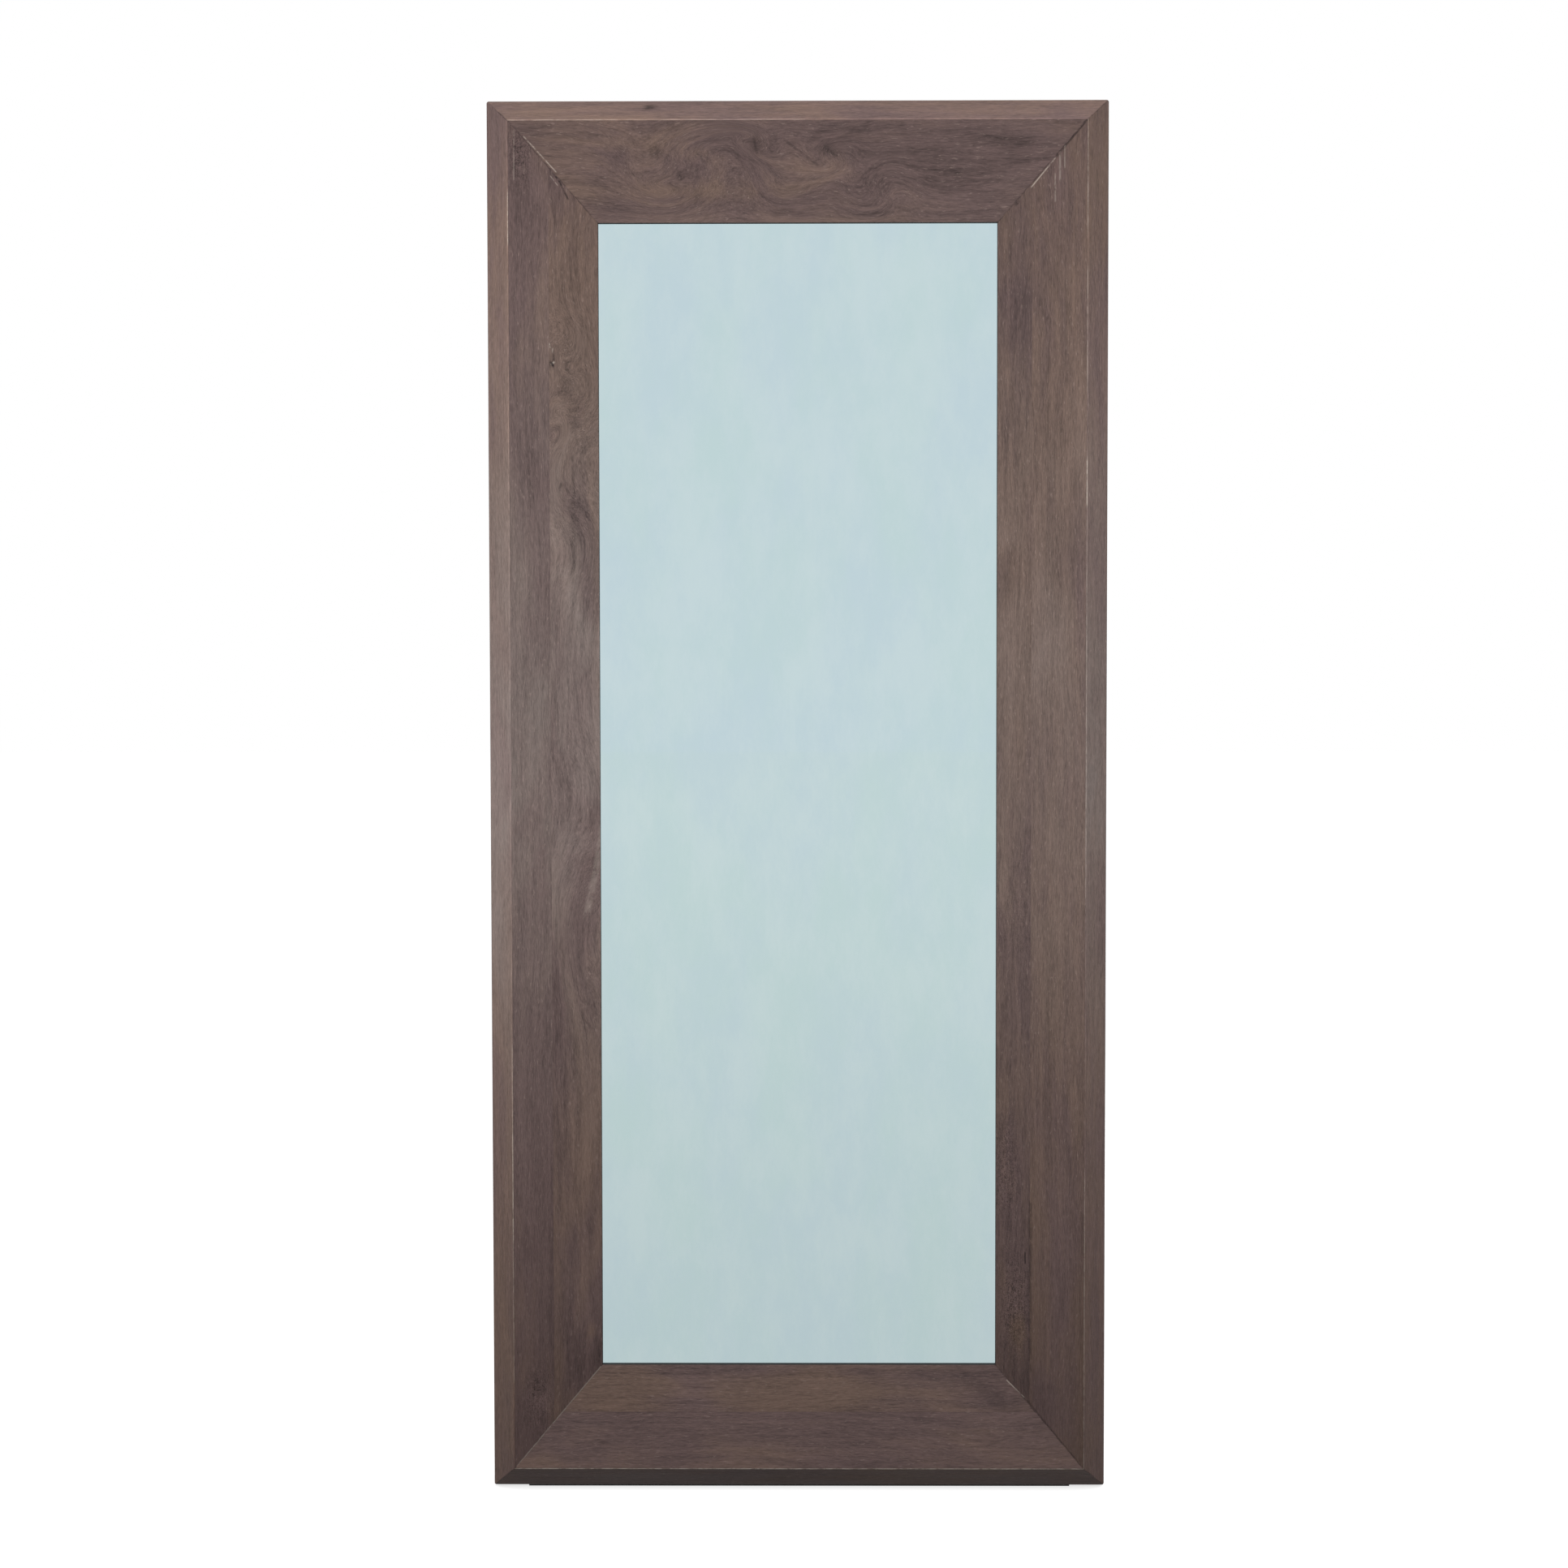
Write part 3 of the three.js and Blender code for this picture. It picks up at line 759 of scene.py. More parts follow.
# %% Finish the outer boards
# The tones of the outer boards are partly painted light: the top chamfer is made much lighter and
# the left one lighter, as light from above and from the left makes them, and the bottom one darker.
outer_finishes = {
    "left": dict(
        grain="upright",
        seed=3.1,
        tone=1.34,
        warmth=0.7,
        figure=0.6,
        patches=[(-0.39, 0.92, 0.05, 0.12, -0.6, 0.08), (-0.39, 1.30, 0.05, 0.12, 0.0, -0.1)],
        ridge_lines=[(1.617, 1.684, 0.55), (0.33, 0.47, 0.4), (0.149, 0.585, 0.3)],
    ),
    "right": dict(
        grain="upright",
        seed=8.7,
        tone=0.99,
        warmth=0.5,
        figure=0.6,
        patches=[(0.39, 1.66, 0.05, 0.06, 0.5, 0.04), (0.39, 0.20, 0.05, 0.26, 0.0, 0.2)],
        ridge_lines=[
            (1.628, 1.776, 0.3),
            (1.427, 1.586, 0.25),
            (1.280, 1.343, 0.55),
            (0.773, 1.270, 0.15),
            (0.023, 0.424, 0.3),
        ],
    ),
    "top": dict(
        grain="level",
        seed=5.3,
        tone=1.8,
        warmth=0.5,
        figure=0.9,
        knots=[(1.793, -0.189, 0.007, 0.014, 0.9)],
        patches=[(1.793, -0.190, 0.0035, 0.007, 0.0, -0.5)],
        ridge_lines=[(-0.374, -0.347, 0.35), (-0.337, -0.231, 0.35), (-0.22, 0.012, 0.2)],
    ),
    "bottom": dict(
        grain="level", seed=1.9, tone=0.8, warmth=0.3, figure=0.6, ridge_lines=[(-0.37, 0.37, 0.7)]
    ),
}
for side in sides:
    finish = stained_wood(
        f"stained_{side.outer_board.name}",
        mitre_run=(1, 1),
        over_glass=False,
        **outer_finishes[side.name],
    )
    settle(side.outer_board, "frame", finish, "stained_wood", f"outer_board_{side.name}")

# %% [markdown]
# Glue and filler don't stop at a joint, so strokes that cross one are given to the boards on both
# sides of it. Each has its start and end as X and Z, its width, and its strength, which is below 0
# where the stroke is dark.

# %% Marks that cross from board to board
TOP_LEFT_MITRE = [
    ((-0.351, 1.755), (-0.311, 1.713), 0.0011, 0.35),
    ((-0.3155, 1.712), (-0.3066, 1.7005), 0.0018, -0.8),
    ((-0.3066, 1.7005), (-0.2967, 1.6796), 0.0018, -0.7),
    ((-0.3185, 1.708), (-0.3095, 1.6965), 0.001, 0.25),
]
TOP_RIGHT_MITRE = [
    ((0.370, 1.773), (0.331, 1.728), 0.0022, -0.6),
    ((0.331, 1.728), (0.301, 1.693), 0.0012, 0.45),
    ((0.286, 1.677), (0.282, 1.673), 0.003, -0.7),
]
BOTTOM_LEFT_MITRE = [((-0.368, 0.035), (-0.262, 0.151), 0.0012, 0.3)]
BOTTOM_RIGHT_MITRE = [
    ((0.274, 0.135), (0.2965, 0.115), 0.0011, 0.4),
    ((0.30, 0.112), (0.370, 0.033), 0.0015, -0.35),
]
BIRD_PECK = [  # torn grain round a pin knot
    ((-0.3215, 1.4934), (-0.3195, 1.4883), 0.0018, 0.4),
    ((-0.3165, 1.4885), (-0.3165, 1.4812), 0.0016, 0.35),
    ((-0.3146, 1.4698), (-0.3186, 1.4665), 0.0018, 0.4),
    ((-0.3245, 1.4796), (-0.3225, 1.4745), 0.0022, -0.8),
    ((-0.3155, 1.4844), (-0.3156, 1.4718), 0.0018, -0.7),
    ((-0.3226, 1.4714), (-0.3216, 1.4631), 0.0022, -0.8),
    ((-0.3186, 1.4696), (-0.3156, 1.4635), 0.0022, -0.9),
]
RIGHT_SEAM_SHADE = [((0.3035, 0.376), (0.3035, 0.1506), 0.003, -0.4)]  # a starved glue line

# %% Finish the face boards
face_finishes = {
    "face_left_outer_strip": dict(
        grain="upright",
        seed=12.4,
        tone=0.9,
        warmth=0.25,
        figure=0.8,
        knots=[(-0.341, 0.134, 0.016, 0.03, 0.9)],
        patches=[
            (-0.352, 1.71, 0.02, 0.08, -0.6, -0.3),
            (-0.350, 1.40, 0.03, 0.16, 0.0, -0.12),
            (-0.352, 0.92, 0.03, 0.14, 0.0, 0.07),
            (-0.355, 0.22, 0.04, 0.20, -0.2, 0.17),
            (-0.336, 1.692, 0.012, 0.03, 0.0, 0.12),
            (-0.345, 0.46, 0.04, 0.12, -0.4, 0.0),
            (-0.336, 0.118, 0.01, 0.015, 0.0, 0.3),
        ],
        curls=[(-0.341, 0.12, 0.02, 0.04, 3.2), (-0.356, 1.735, 0.014, 0.04, 3.2)],
        strokes=TOP_LEFT_MITRE
        + BOTTOM_LEFT_MITRE
        + [((-0.3625, 1.762), (-0.3629, 1.698), 0.0008, 0.2)],
    ),
    "face_left_inner_strip": dict(
        grain="upright",
        seed=15.8,
        tone=0.95,
        warmth=0.5,
        figure=1.35,
        knots=[(-0.320, 1.471, 0.010, 0.018, 0.9)],
        swirls=[
            (-0.3025, 1.487, 0.02, 0.03, 2.2),
            (-0.313, 1.393, 0.014, 0.022, -2.0),
            (-0.285, 1.40, 0.03, 0.07, 1.1),
            (-0.290, 1.27, 0.03, 0.06, -0.8),
            (-0.265, 0.81, 0.04, 0.12, 0.6),
        ],
        patches=[
            (-0.309, 1.41, 0.016, 0.05, 0.3, 0.14),
            (-0.288, 1.26, 0.012, 0.05, 0.0, -0.13),
            (-0.285, 1.42, 0.03, 0.12, 0.0, -0.24),
            (-0.302, 1.20, 0.010, 0.05, 0.0, 0.1),
            (-0.262, 1.35, 0.010, 0.16, 0.9, 0.02),
            (-0.262, 1.05, 0.008, 0.10, 0.6, 0.08),
            (-0.29, 1.54, 0.04, 0.12, 0.6, 0.03),
            (-0.285, 0.39, 0.04, 0.14, 0.4, 0.21),
            (-0.285, 0.25, 0.04, 0.10, -0.5, 0.05),
            (-0.29, 0.86, 0.04, 0.12, -0.3, 0.12),
            (-0.281, 0.155, 0.018, 0.02, -0.3, -0.14),
            (-0.28, 1.02, 0.04, 0.16, -0.5, 0.03),
            (-0.2925, 1.21, 0.004, 0.07, 0.0, -0.2),
            (-0.273, 0.1995, 0.006, 0.012, 0.6, 0.12),
        ],
        strokes=TOP_LEFT_MITRE
        + BOTTOM_LEFT_MITRE
        + [
            ((-0.2545, 0.886), (-0.265, 0.812), 0.006, 0.12),
            ((-0.265, 0.812), (-0.2785, 0.748), 0.006, 0.12),
            ((-0.309, 1.304), (-0.307, 1.314), 0.002, -0.5),
        ]
        + BIRD_PECK,
    ),
    "face_right_outer_strip": dict(
        grain="upright",
        seed=21.2,
        tone=0.89,
        warmth=0.7,
        figure=0.8,
        # half as much painted sheen as on the other boards
        sheen_share=0.5,
        patches=[
            (0.3355, 1.706, 0.014, 0.035, -0.2, 0.08),
            (0.345, 1.06, 0.02, 0.3, 0.0, 0.05),
            (0.332, 1.28, 0.03, 0.22, 0.1, -0.15),
            (0.335, 0.22, 0.03, 0.24, -0.6, 0.22),
            (0.326, 0.55, 0.006, 0.2, 0.0, -0.1),
            (0.318, 0.235, 0.012, 0.03, 0.5, 0.03),
        ],
        strokes=TOP_RIGHT_MITRE
        + BOTTOM_RIGHT_MITRE
        + RIGHT_SEAM_SHADE
        + [
            ((0.3365, 1.735), (0.3367, 1.698), 0.0018, 0.2),
            ((0.3423, 1.743), (0.3423, 1.714), 0.0014, 0.2),
            ((0.3306, 1.708), (0.3310, 1.672), 0.0014, 0.18),
        ],
    ),
    "face_right_inner_strip": dict(
        grain="upright",
        seed=27.6,
        tone=0.84,
        warmth=0.55,
        figure=1.2,
        # half as much painted sheen as on the other boards
        sheen_share=0.5,
        patches=[
            (0.288, 0.203, 0.01, 0.02, 0.9, 0.1),
            (0.285, 1.50, 0.03, 0.2, -0.3, -0.16),
            (0.296, 0.138, 0.02, 0.03, -0.2, -0.22),
            (0.280, 0.28, 0.03, 0.16, -0.6, 0.02),
            (0.285, 1.15, 0.03, 0.2, 0.6, 0.03),
        ],
        curls=[
            (0.284, 0.235, 0.018, 0.06, 5.0),
            (0.273, 0.415, 0.014, 0.07, 3.5),
            (0.285, 0.75, 0.03, 0.09, 1.2),
        ],
        strokes=TOP_RIGHT_MITRE
        + BOTTOM_RIGHT_MITRE
        + RIGHT_SEAM_SHADE
        + [((0.297, 0.3075), (0.2971, 0.2925), 0.0011, -0.9)],
    ),
    "face_top_board": dict(
        grain="level",
        seed=33.1,
        tone=0.8,
        warmth=0.3,
        figure=1.5,
        knots=[(1.707, -0.151, 0.007, 0.010, 0.9)],
        swirls=[
            (1.722, -0.140, 0.042, 0.060, 1.9),
            (1.738, -0.180, 0.014, 0.022, 2.6),
            (1.742, -0.052, 0.020, 0.022, -2.6),
            (1.738, 0.044, 0.018, 0.026, 2.4),
            (1.700, 0.105, 0.030, 0.034, 1.5),
            (1.705, -0.050, 0.030, 0.050, -1.2),
        ],
        patches=[
            (1.738, -0.181, 0.008, 0.012, 0.0, -0.35),
            (1.738, 0.040, 0.010, 0.014, 0.0, -0.25),
            (1.744, -0.054, 0.012, 0.008, 0.0, -0.25),
            (1.70, -0.32, 0.05, 0.04, 0.0, -0.08),
            (1.735, -0.135, 0.010, 0.020, 0.4, 0.14),
            (1.69, -0.13, 0.012, 0.11, 0.5, 0.12),
            (1.71, 0.25, 0.06, 0.10, -0.5, -0.16),
            (1.71, 0.03, 0.03, 0.05, 0.2, 0.12),
        ],
        strokes=TOP_LEFT_MITRE
        + TOP_RIGHT_MITRE
        + [
            ((-0.0174, 1.7503), (0.0265, 1.7199), 0.0024, -0.4),
            ((-0.056, 1.752), (-0.052, 1.733), 0.0024, -0.45),
            ((0.0337, 1.7427), (0.0494, 1.7313), 0.0024, -0.45),
        ],
    ),
    "face_bottom_outer_strip": dict(
        grain="level",
        seed=39.9,
        tone=0.98,
        warmth=0.15,
        strokes=BOTTOM_LEFT_MITRE + BOTTOM_RIGHT_MITRE,
    ),
    "face_bottom_inner_strip": dict(
        grain="level",
        seed=44.5,
        tone=0.98,
        warmth=0.45,
        patches=[
            (0.12, -0.24, 0.03, 0.05, 0.7, 0.02),
            (0.12, 0.01, 0.03, 0.10, 0.7, 0.02),
            (0.12, -0.14, 0.03, 0.03, -0.6, 0.0),
            (0.12, -0.05, 0.03, 0.06, 0.1, 0.08),
            (0.12, 0.262, 0.03, 0.04, -0.4, -0.18),
            # painted shade: a darker, cooler strip along the sight edge beside the glass
            (0.1447, 0.0, 0.007, 0.40, -0.2, -0.12),
        ],
        strokes=BOTTOM_LEFT_MITRE
        + BOTTOM_RIGHT_MITRE
        + [((0.205, 0.147), (0.283, 0.0975), 0.014, -0.22)],
    ),
}
for node, board in face_boards.items():
    finish = stained_wood(f"stained_{board.name}", **face_finishes[node])
    settle(board, "frame", finish, "stained_wood", node)

# %% [markdown]
# ## Mirror glass
# The silver lies behind clear glass that is faintly green, so the mirror gives back the pale studio
# with a cool tint. It is all one metal shader: its base colour is the tint of the reflection. Very
# faint clouds vary that tint and the mirror's dullness. The sides and the back of the sheet are
# painted, and the surface's own normal tells them from the front.

# %% Silver the glass
def dress(nodes, material):
    """Puts a material on CAD nodes that stay in view."""
    for node in nodes:
        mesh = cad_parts[node].data
        mesh.materials.clear()
        mesh.materials.append(material)


BLUE_SILVER = srgb(191, 210, 217)
GREEN_SILVER = srgb(191, 212, 214)
CLOUDED_SILVER = srgb(199, 216, 219)
BACK_PAINT = srgb(96, 100, 98)
PAINT_ROUGHNESS = 0.55
MIRROR_ROUGHNESS = 0.02
CLOUD_ROUGHNESS = 0.015

glass_finish = Finish("silvered_glass")
x, y, z = glass_finish.place()
haze = glass_finish.noise(glass_finish.point(x * 17, 0.3, z * 8), 5, 0.7)
hue = glass_finish.noise(glass_finish.point(x * 9, 7.7, z * 4), 4, 0.6)
facing = glass_finish.facing()
front_of_glass = facing.out("Y").step(-0.4, -0.6)
silver = glass_finish.blend(hue.step(-0.18, 0.18), BLUE_SILVER, GREEN_SILVER)
silver = glass_finish.blend(haze.step(-0.16, 0.2) * 0.7, silver, CLOUDED_SILVER)
dullness = front_of_glass * (MIRROR_ROUGHNESS - PAINT_ROUGHNESS) + PAINT_ROUGHNESS
glass_finish.feed(
    Base_Color=glass_finish.blend(front_of_glass, BACK_PAINT, silver),
    Metallic=front_of_glass,
    Roughness=dullness + haze.step(0.1, 0.4) * CLOUD_ROUGHNESS,
)
dress(["mirror_glass"], glass_finish.mixed())

# %% [markdown]
# ## Hidden woods and boards
# Behind the glass lie a hardboard sheet, pine wedges and corner blocks, and a thin plywood back
# panel. Only the panel shows, from behind, but each gets its own finish, so that real materials lie
# under the panel too.

# %% Pine, hardboard and plywood
def plain_board(name, light, dark, fine, slow, seed):
    """An unstained board, grain upright: fine waves to a metre across it, slow ones along it."""
    finish = Finish(name, Specular_IOR_Level=0.3)
    x, y, z = finish.place()
    waver = finish.noise(finish.point(x * 4, y * 4 + seed, z * 1.5), 2)
    bent = x + waver * 0.04
    growth = finish.noise(finish.point(bent * fine, y * fine + seed, z * slow), 4, 0.6, 0.4)
    fine_point = finish.point(bent * (fine * 9), y * (fine * 9), z * (slow * 3) + seed)
    lines = finish.noise(fine_point, 3, 0.65)
    fibre = finish.noise(finish.point(x * 900, y * 900, z * 40 + seed), 2, 0.6)
    stain = finish.noise(finish.point(x * 3, y, z * 3 + seed), 3, 0.6)
    colour = finish.blend((growth + lines * 0.5).step(-0.25, 0.25), light, dark)
    colour = finish.blend(fibre.step(0.0, 0.3) * 0.4, colour, dark)
    colour = finish.blend(stain.step(0.0, 0.4) * 0.25, colour, dark)
    finish.feed(Base_Color=colour, Roughness=0.66 + growth * 0.15)
    finish.relief(growth * 0.4 + fibre * 0.6, WOOD_RELIEF)
    return finish.mixed()


KINDS = {
    "plywood": dict(light=srgb(186, 156, 116), dark=srgb(150, 118, 80), fine=26, slow=2.2, seed=51),
    "pine": dict(light=srgb(214, 184, 138), dark=srgb(178, 138, 92), fine=110, slow=3, seed=57),
    "hardboard": dict(light=srgb(112, 84, 60), dark=srgb(84, 61, 42), fine=420, slow=400, seed=63),
}
plywood, pine, hardboard = (plain_board(name, **kind) for name, kind in KINDS.items())
dress(["back_panel"], plywood)
dress(["glass_backing_sheet"], hardboard)
dress([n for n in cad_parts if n.startswith(("wedge_", "corner_block_"))], pine)

# %% [markdown]
# ## Zinc-plated steel and rubber
# Screws, hangers and rings are bright zinc that has dulled a little. The plating's crystals show as
# faint patches, and handling leaves finer scratches, so roughness varies on two scales. The strip
# under the frame and the four bumpers are black rubber with a fine bloom.

# %% Zinc and rubber
ZINC_GREY = srgb(178, 180, 182)
ZINC_PALE = srgb(206, 206, 204)
ZINC_WORN = srgb(150, 146, 138)
CRYSTALS = 420.0  # to a metre
RUBBER_BLACK = srgb(30, 30, 32)
RUBBER_BLOOM = srgb(58, 57, 57)

zinc_finish = Finish("dulled_zinc", Metallic=1.0)
x, y, z = zinc_finish.place()
crystals = zinc_finish.node(
    "TexVoronoi", {"feature": "F1"}, {"Vector": zinc_finish.point(x, y, z), "Scale": CRYSTALS}
).out("Color")
crystal = zinc_finish.node("SeparateXYZ", None, {"Vector": crystals}).out("X")
wear = zinc_finish.noise(zinc_finish.point(x * 160, y * 160, z * 160), 3, 0.6)
zinc_colour = zinc_finish.blend(crystal, ZINC_GREY, ZINC_PALE)
zinc_colour = zinc_finish.blend(wear.step(0.05, 0.4) * 0.5, zinc_colour, ZINC_WORN)
zinc_finish.feed(Base_Color=zinc_colour, Roughness=0.3 + crystal * 0.1 + wear.step(0, 0.4) * 0.2)
zinc_finish.relief(wear, 0.00004)
zinc = zinc_finish.mixed()

rubber_finish = Finish("black_rubber", Specular_IOR_Level=0.4)
x, y, z = rubber_finish.place()
bloom = rubber_finish.noise(rubber_finish.point(x * 60, y * 60, z * 60), 4, 0.6)
grit = rubber_finish.noise(rubber_finish.point(x * 1500, y * 1500, z * 1500), 2)
rubber_colour = rubber_finish.blend(bloom.step(-0.1, 0.4), RUBBER_BLACK, RUBBER_BLOOM)
rubber_finish.feed(Base_Color=rubber_colour, Roughness=0.74 + bloom * 0.2)
rubber_finish.relief(grit, 0.0001)
rubber = rubber_finish.mixed()

# %% [markdown]
# ## Screws
# Sixteen countersunk screws hold the back panel, and two pan-head screws hold each hanger. One of
# each kind is turned as on a lathe: a disc is extruded along the axis from the tip and scaled to
# each next radius, and two crossed cutters sink the driver's recess. The copies are turned a little
# differently, as no one lines up screws by hand.

# %% Turn one screw of each kind
SCREW_SIDES = 24
BLADE_RATIO = 4.5  # a blade of the driver is this many times as wide as it is thick
TAPER = 0.55  # width of the recess at its floor, as a share of its mouth


def turned_from_disc(name, profile):
    """A solid of rings along +Y: each ring is a radius and a height in millimetres."""
    deselect_all()
    first_radius, first_height = profile[0]
    bpy.ops.mesh.primitive_circle_add(
        vertices=SCREW_SIDES,
        radius=first_radius * MM,
        fill_type="NGON",
        location=(0, first_height * MM, 0),
        rotation=(math.radians(90), 0, 0),
    )
    piece = bpy.context.object
    piece.name = name
    bpy.ops.object.transform_apply(location=True, rotation=True, scale=True)
    bpy.ops.object.mode_set(mode="EDIT")
    bpy.ops.mesh.select_all(action="SELECT")
    radius, height = first_radius, first_height
    for next_radius, next_height in profile[1:]:
        bpy.ops.mesh.extrude_region_move(
            TRANSFORM_OT_translate={"value": (0, (next_height - height) * MM, 0)}
        )
        ratio = next_radius / radius
        bpy.ops.transform.resize(value=(ratio, 1, ratio), center_override=(0, next_height * MM, 0))
        radius, height = next_radius, next_height
    bpy.ops.mesh.select_all(action="SELECT")
    bpy.ops.mesh.normals_make_consistent(inside=False)
    bpy.ops.object.mode_set(mode="OBJECT")
    return piece


def cross_recess(piece, top_height, span, depth):
    """Two tapered blades, sunk crosswise into the head."""
    thick = span / BLADE_RATIO
    for across, tall in ((span, thick), (thick, span)):
        low = Vector((-across / 2, top_height - depth, -tall / 2)) * MM
        high = Vector((across / 2, top_height + 1, tall / 2)) * MM
        blade = block("driver", low, high)
        take_up(blade)
        bpy.ops.object.mode_set(mode="EDIT")
        bpy.ops.mesh.select_all(action="DESELECT")
        mesh = bmesh.from_edit_mesh(blade.data)
        for vertex in mesh.verts:
            vertex.select_set(vertex.co.y < (top_height - depth / 2) * MM)
        bpy.ops.transform.resize(value=(TAPER, 1, TAPER), center_override=(0, low.y, 0))
        bpy.ops.object.mode_set(mode="OBJECT")
        rout(piece, blade)


COUNTERSUNK_TIP = [(0.3, -18), (1.5, -15), (1.6, -14.6)]
COUNTERSUNK_HEAD = [(1.6, -2.4), (3.25, -0.45), (3.4, -0.25), (3.3, 0)]
PAN_TIP = [(0.3, -25), (1.6, -21.6), (1.7, -21)]
PAN_HEAD = [(1.7, 0), (3.6, 0.02), (3.6, 0.6), (3.2, 1.25), (2.4, 1.62), (1.4, 1.78)]
PAN_HEAD_HEIGHT = 1.8
RECESS_SPAN = 3.4

countersunk = turned_from_disc("countersunk_screw", COUNTERSUNK_TIP + COUNTERSUNK_HEAD)
cross_recess(countersunk, 0, RECESS_SPAN, depth=1.3)
pan_head = turned_from_disc("pan_head_screw", PAN_TIP + PAN_HEAD)
cross_recess(pan_head, PAN_HEAD_HEIGHT, RECESS_SPAN, depth=1.2)
for pattern in (countersunk, pan_head):
    polish(pattern, 35)
    print(pattern.name, len(pattern.data.polygons), "faces")


# %% Drive the screws
def screw_axis(node):
    """Where the screw's middle line stands, in X and Z."""
    low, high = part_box(node)
    return (low.x + high.x) / 2, (low.z + high.z) / 2


def copy_of(pattern, name, turn, place):
    """A copy with its own mesh, turned about Y and moved to its place."""
    deselect_all()
    piece = pattern.copy()
    piece.data = pattern.data.copy()
    piece.name = name
    bpy.context.scene.collection.objects.link(piece)
    take_up(piece)
    piece.rotation_euler = (0, turn, 0)
    piece.location = place
    bpy.ops.object.transform_apply(location=True, rotation=True, scale=True)
    return piece


FIRST_TURN = 0.4  # radians
NEXT_TURN = 1.1
screw_nodes = sorted(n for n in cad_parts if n.startswith(("panel_screw_", "hanger_screw_")))
turn = FIRST_TURN
for node in screw_nodes:
    pattern, proud = (countersunk, 0) if node.startswith("panel") else (pan_head, PAN_HEAD_HEIGHT)
    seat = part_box(node)[1].y - proud * MM
    across, height = screw_axis(node)
    screw = copy_of(pattern, node.replace("screw", "cross_screw"), turn, (across, seat, height))
    settle(screw, "frame", zinc, "zinc_steel", node)
    turn += NEXT_TURN
for pattern in (countersunk, pan_head):
    bpy.data.objects.remove(pattern)

# %% [markdown]
# ## Hangers
# A hanger is a steel strap whose upper end is rolled into an eye, and a D ring bent from wire that
# swings in it. The strap starts as a flat plate: its lower corners are rounded, its screw holes are
# bored, and its top face is spun round the ring's axis, which is how a rolling machine makes the
# eye. Lengths here are in millimetres.

# %% Roll the straps
STRAP_WIDTH = 16
STRAP_THICKNESS = 1.5
STRAP_LENGTH = 48
WIRE = 1.5  # radius
RING_PLAY = 0.3  # between the wire and its eye
EYE = WIRE + RING_PLAY + STRAP_THICKNESS
HOLE_DROPS = (26, 40)  # below the middle of the ring's bar
HOLE = 2.0  # radius
FOOT_FLAT = 0.1  # half of the lower edge that stays straight between its round corners
EYE_TURN = 290  # degrees from the plate's top face to the end of the roll
STRAP_EDGE = 0.25
CLOSE = 1e-6  # metres; points nearer than this are one


def drill(place, radius, depth):
    """A cutter along Y."""
    deselect_all()
    bpy.ops.mesh.primitive_cylinder_add(
        vertices=32, radius=radius, depth=depth, location=place, rotation=(math.radians(90), 0, 0)
    )
    piece = bpy.context.object
    bpy.ops.object.transform_apply(location=True, rotation=True, scale=True)
    return piece


def select_faces(piece, is_chosen):
    bpy.ops.mesh.select_mode(type="FACE")
    bpy.ops.mesh.select_all(action="DESELECT")
    mesh = bmesh.from_edit_mesh(piece.data)
    for face in mesh.faces:
        face.select_set(is_chosen(face))
    bmesh.update_edit_mesh(piece.data)


def is_sharp(edge):
    return edge.is_manifold and edge.calc_face_angle() > math.radians(50)


def open_edges(piece):
    """How many edges don't join exactly two faces; a closed piece has none."""
    mesh = bmesh.new()
    mesh.from_mesh(piece.data)
    count = sum(not edge.is_manifold for edge in mesh.edges)
    mesh.free()
    return count


def strap(name, axis):
    """A plate with its top rolled round axis, the middle of the ring's bar."""
    half = STRAP_WIDTH / 2
    low = axis + Vector((-half, -EYE, -STRAP_LENGTH)) * MM
    high = axis + Vector((half, STRAP_THICKNESS - EYE, 0)) * MM
    plate = block(name, low, high)

    def lower_corner(edge):
        ends = [vertex.co for vertex in edge.verts]
        return all(end.z < low.z + CLOSE for end in ends) and abs(ends[0].x - ends[1].x) < CLOSE

    ease(plate, lower_corner, (half - FOOT_FLAT) * MM, 8)
    rout(
        plate,
        *[
            drill(axis + Vector((0, -EYE, -drop)) * MM, HOLE * MM, 4 * STRAP_THICKNESS * MM)
            for drop in HOLE_DROPS
        ],
    )

    def top_face(face):
        return face.normal.z > 0.9 and face.calc_center_median().z > axis.z - CLOSE

    take_up(plate)
    bpy.ops.object.mode_set(mode="EDIT")
    select_faces(plate, top_face)
    bpy.ops.mesh.spin(steps=24, angle=math.radians(EYE_TURN), center=axis, axis=RIGHT)
    bpy.ops.mesh.select_all(action="SELECT")
    bpy.ops.mesh.remove_doubles(threshold=CLOSE)
    bpy.ops.mesh.normals_make_consistent(inside=False)
    bpy.ops.object.mode_set(mode="OBJECT")
    ease(plate, is_sharp, STRAP_EDGE * MM, 2)
    polish(plate, 35)
    return plate


def ring_axis(node):
    """The middle of a ring's bar, which is its highest part."""
    low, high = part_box(node)
    return Vector(((low.x + high.x) / 2, (low.y + high.y) / 2, high.z - WIRE * MM))


def compare_boxes(piece):
    """Prints the piece's corners and how many of its edges are open."""
    low, high = piece.bound_box[0], piece.bound_box[6]
    print(piece.name, "is", [round(v, 4) for v in (*low, *high)])
    print("open edges:", open_edges(piece))


for side_name in ("left", "right"):
    node = f"hanger_strap_{side_name}"
    piece = strap(f"rolled_{node}", ring_axis(f"hanger_ring_{side_name}"))
    settle(piece, "frame", zinc, "zinc_steel", node)
    compare_boxes(piece)

# %% [markdown]
# The ring starts as a disc of the wire's size. It is pushed along the bar and spun round each bend
# until it faces its own other end inside the eye, where the wire's two ends are hidden. A curve
# with a round bevel would be quicker, but it wouldn't show how the wire is bent.

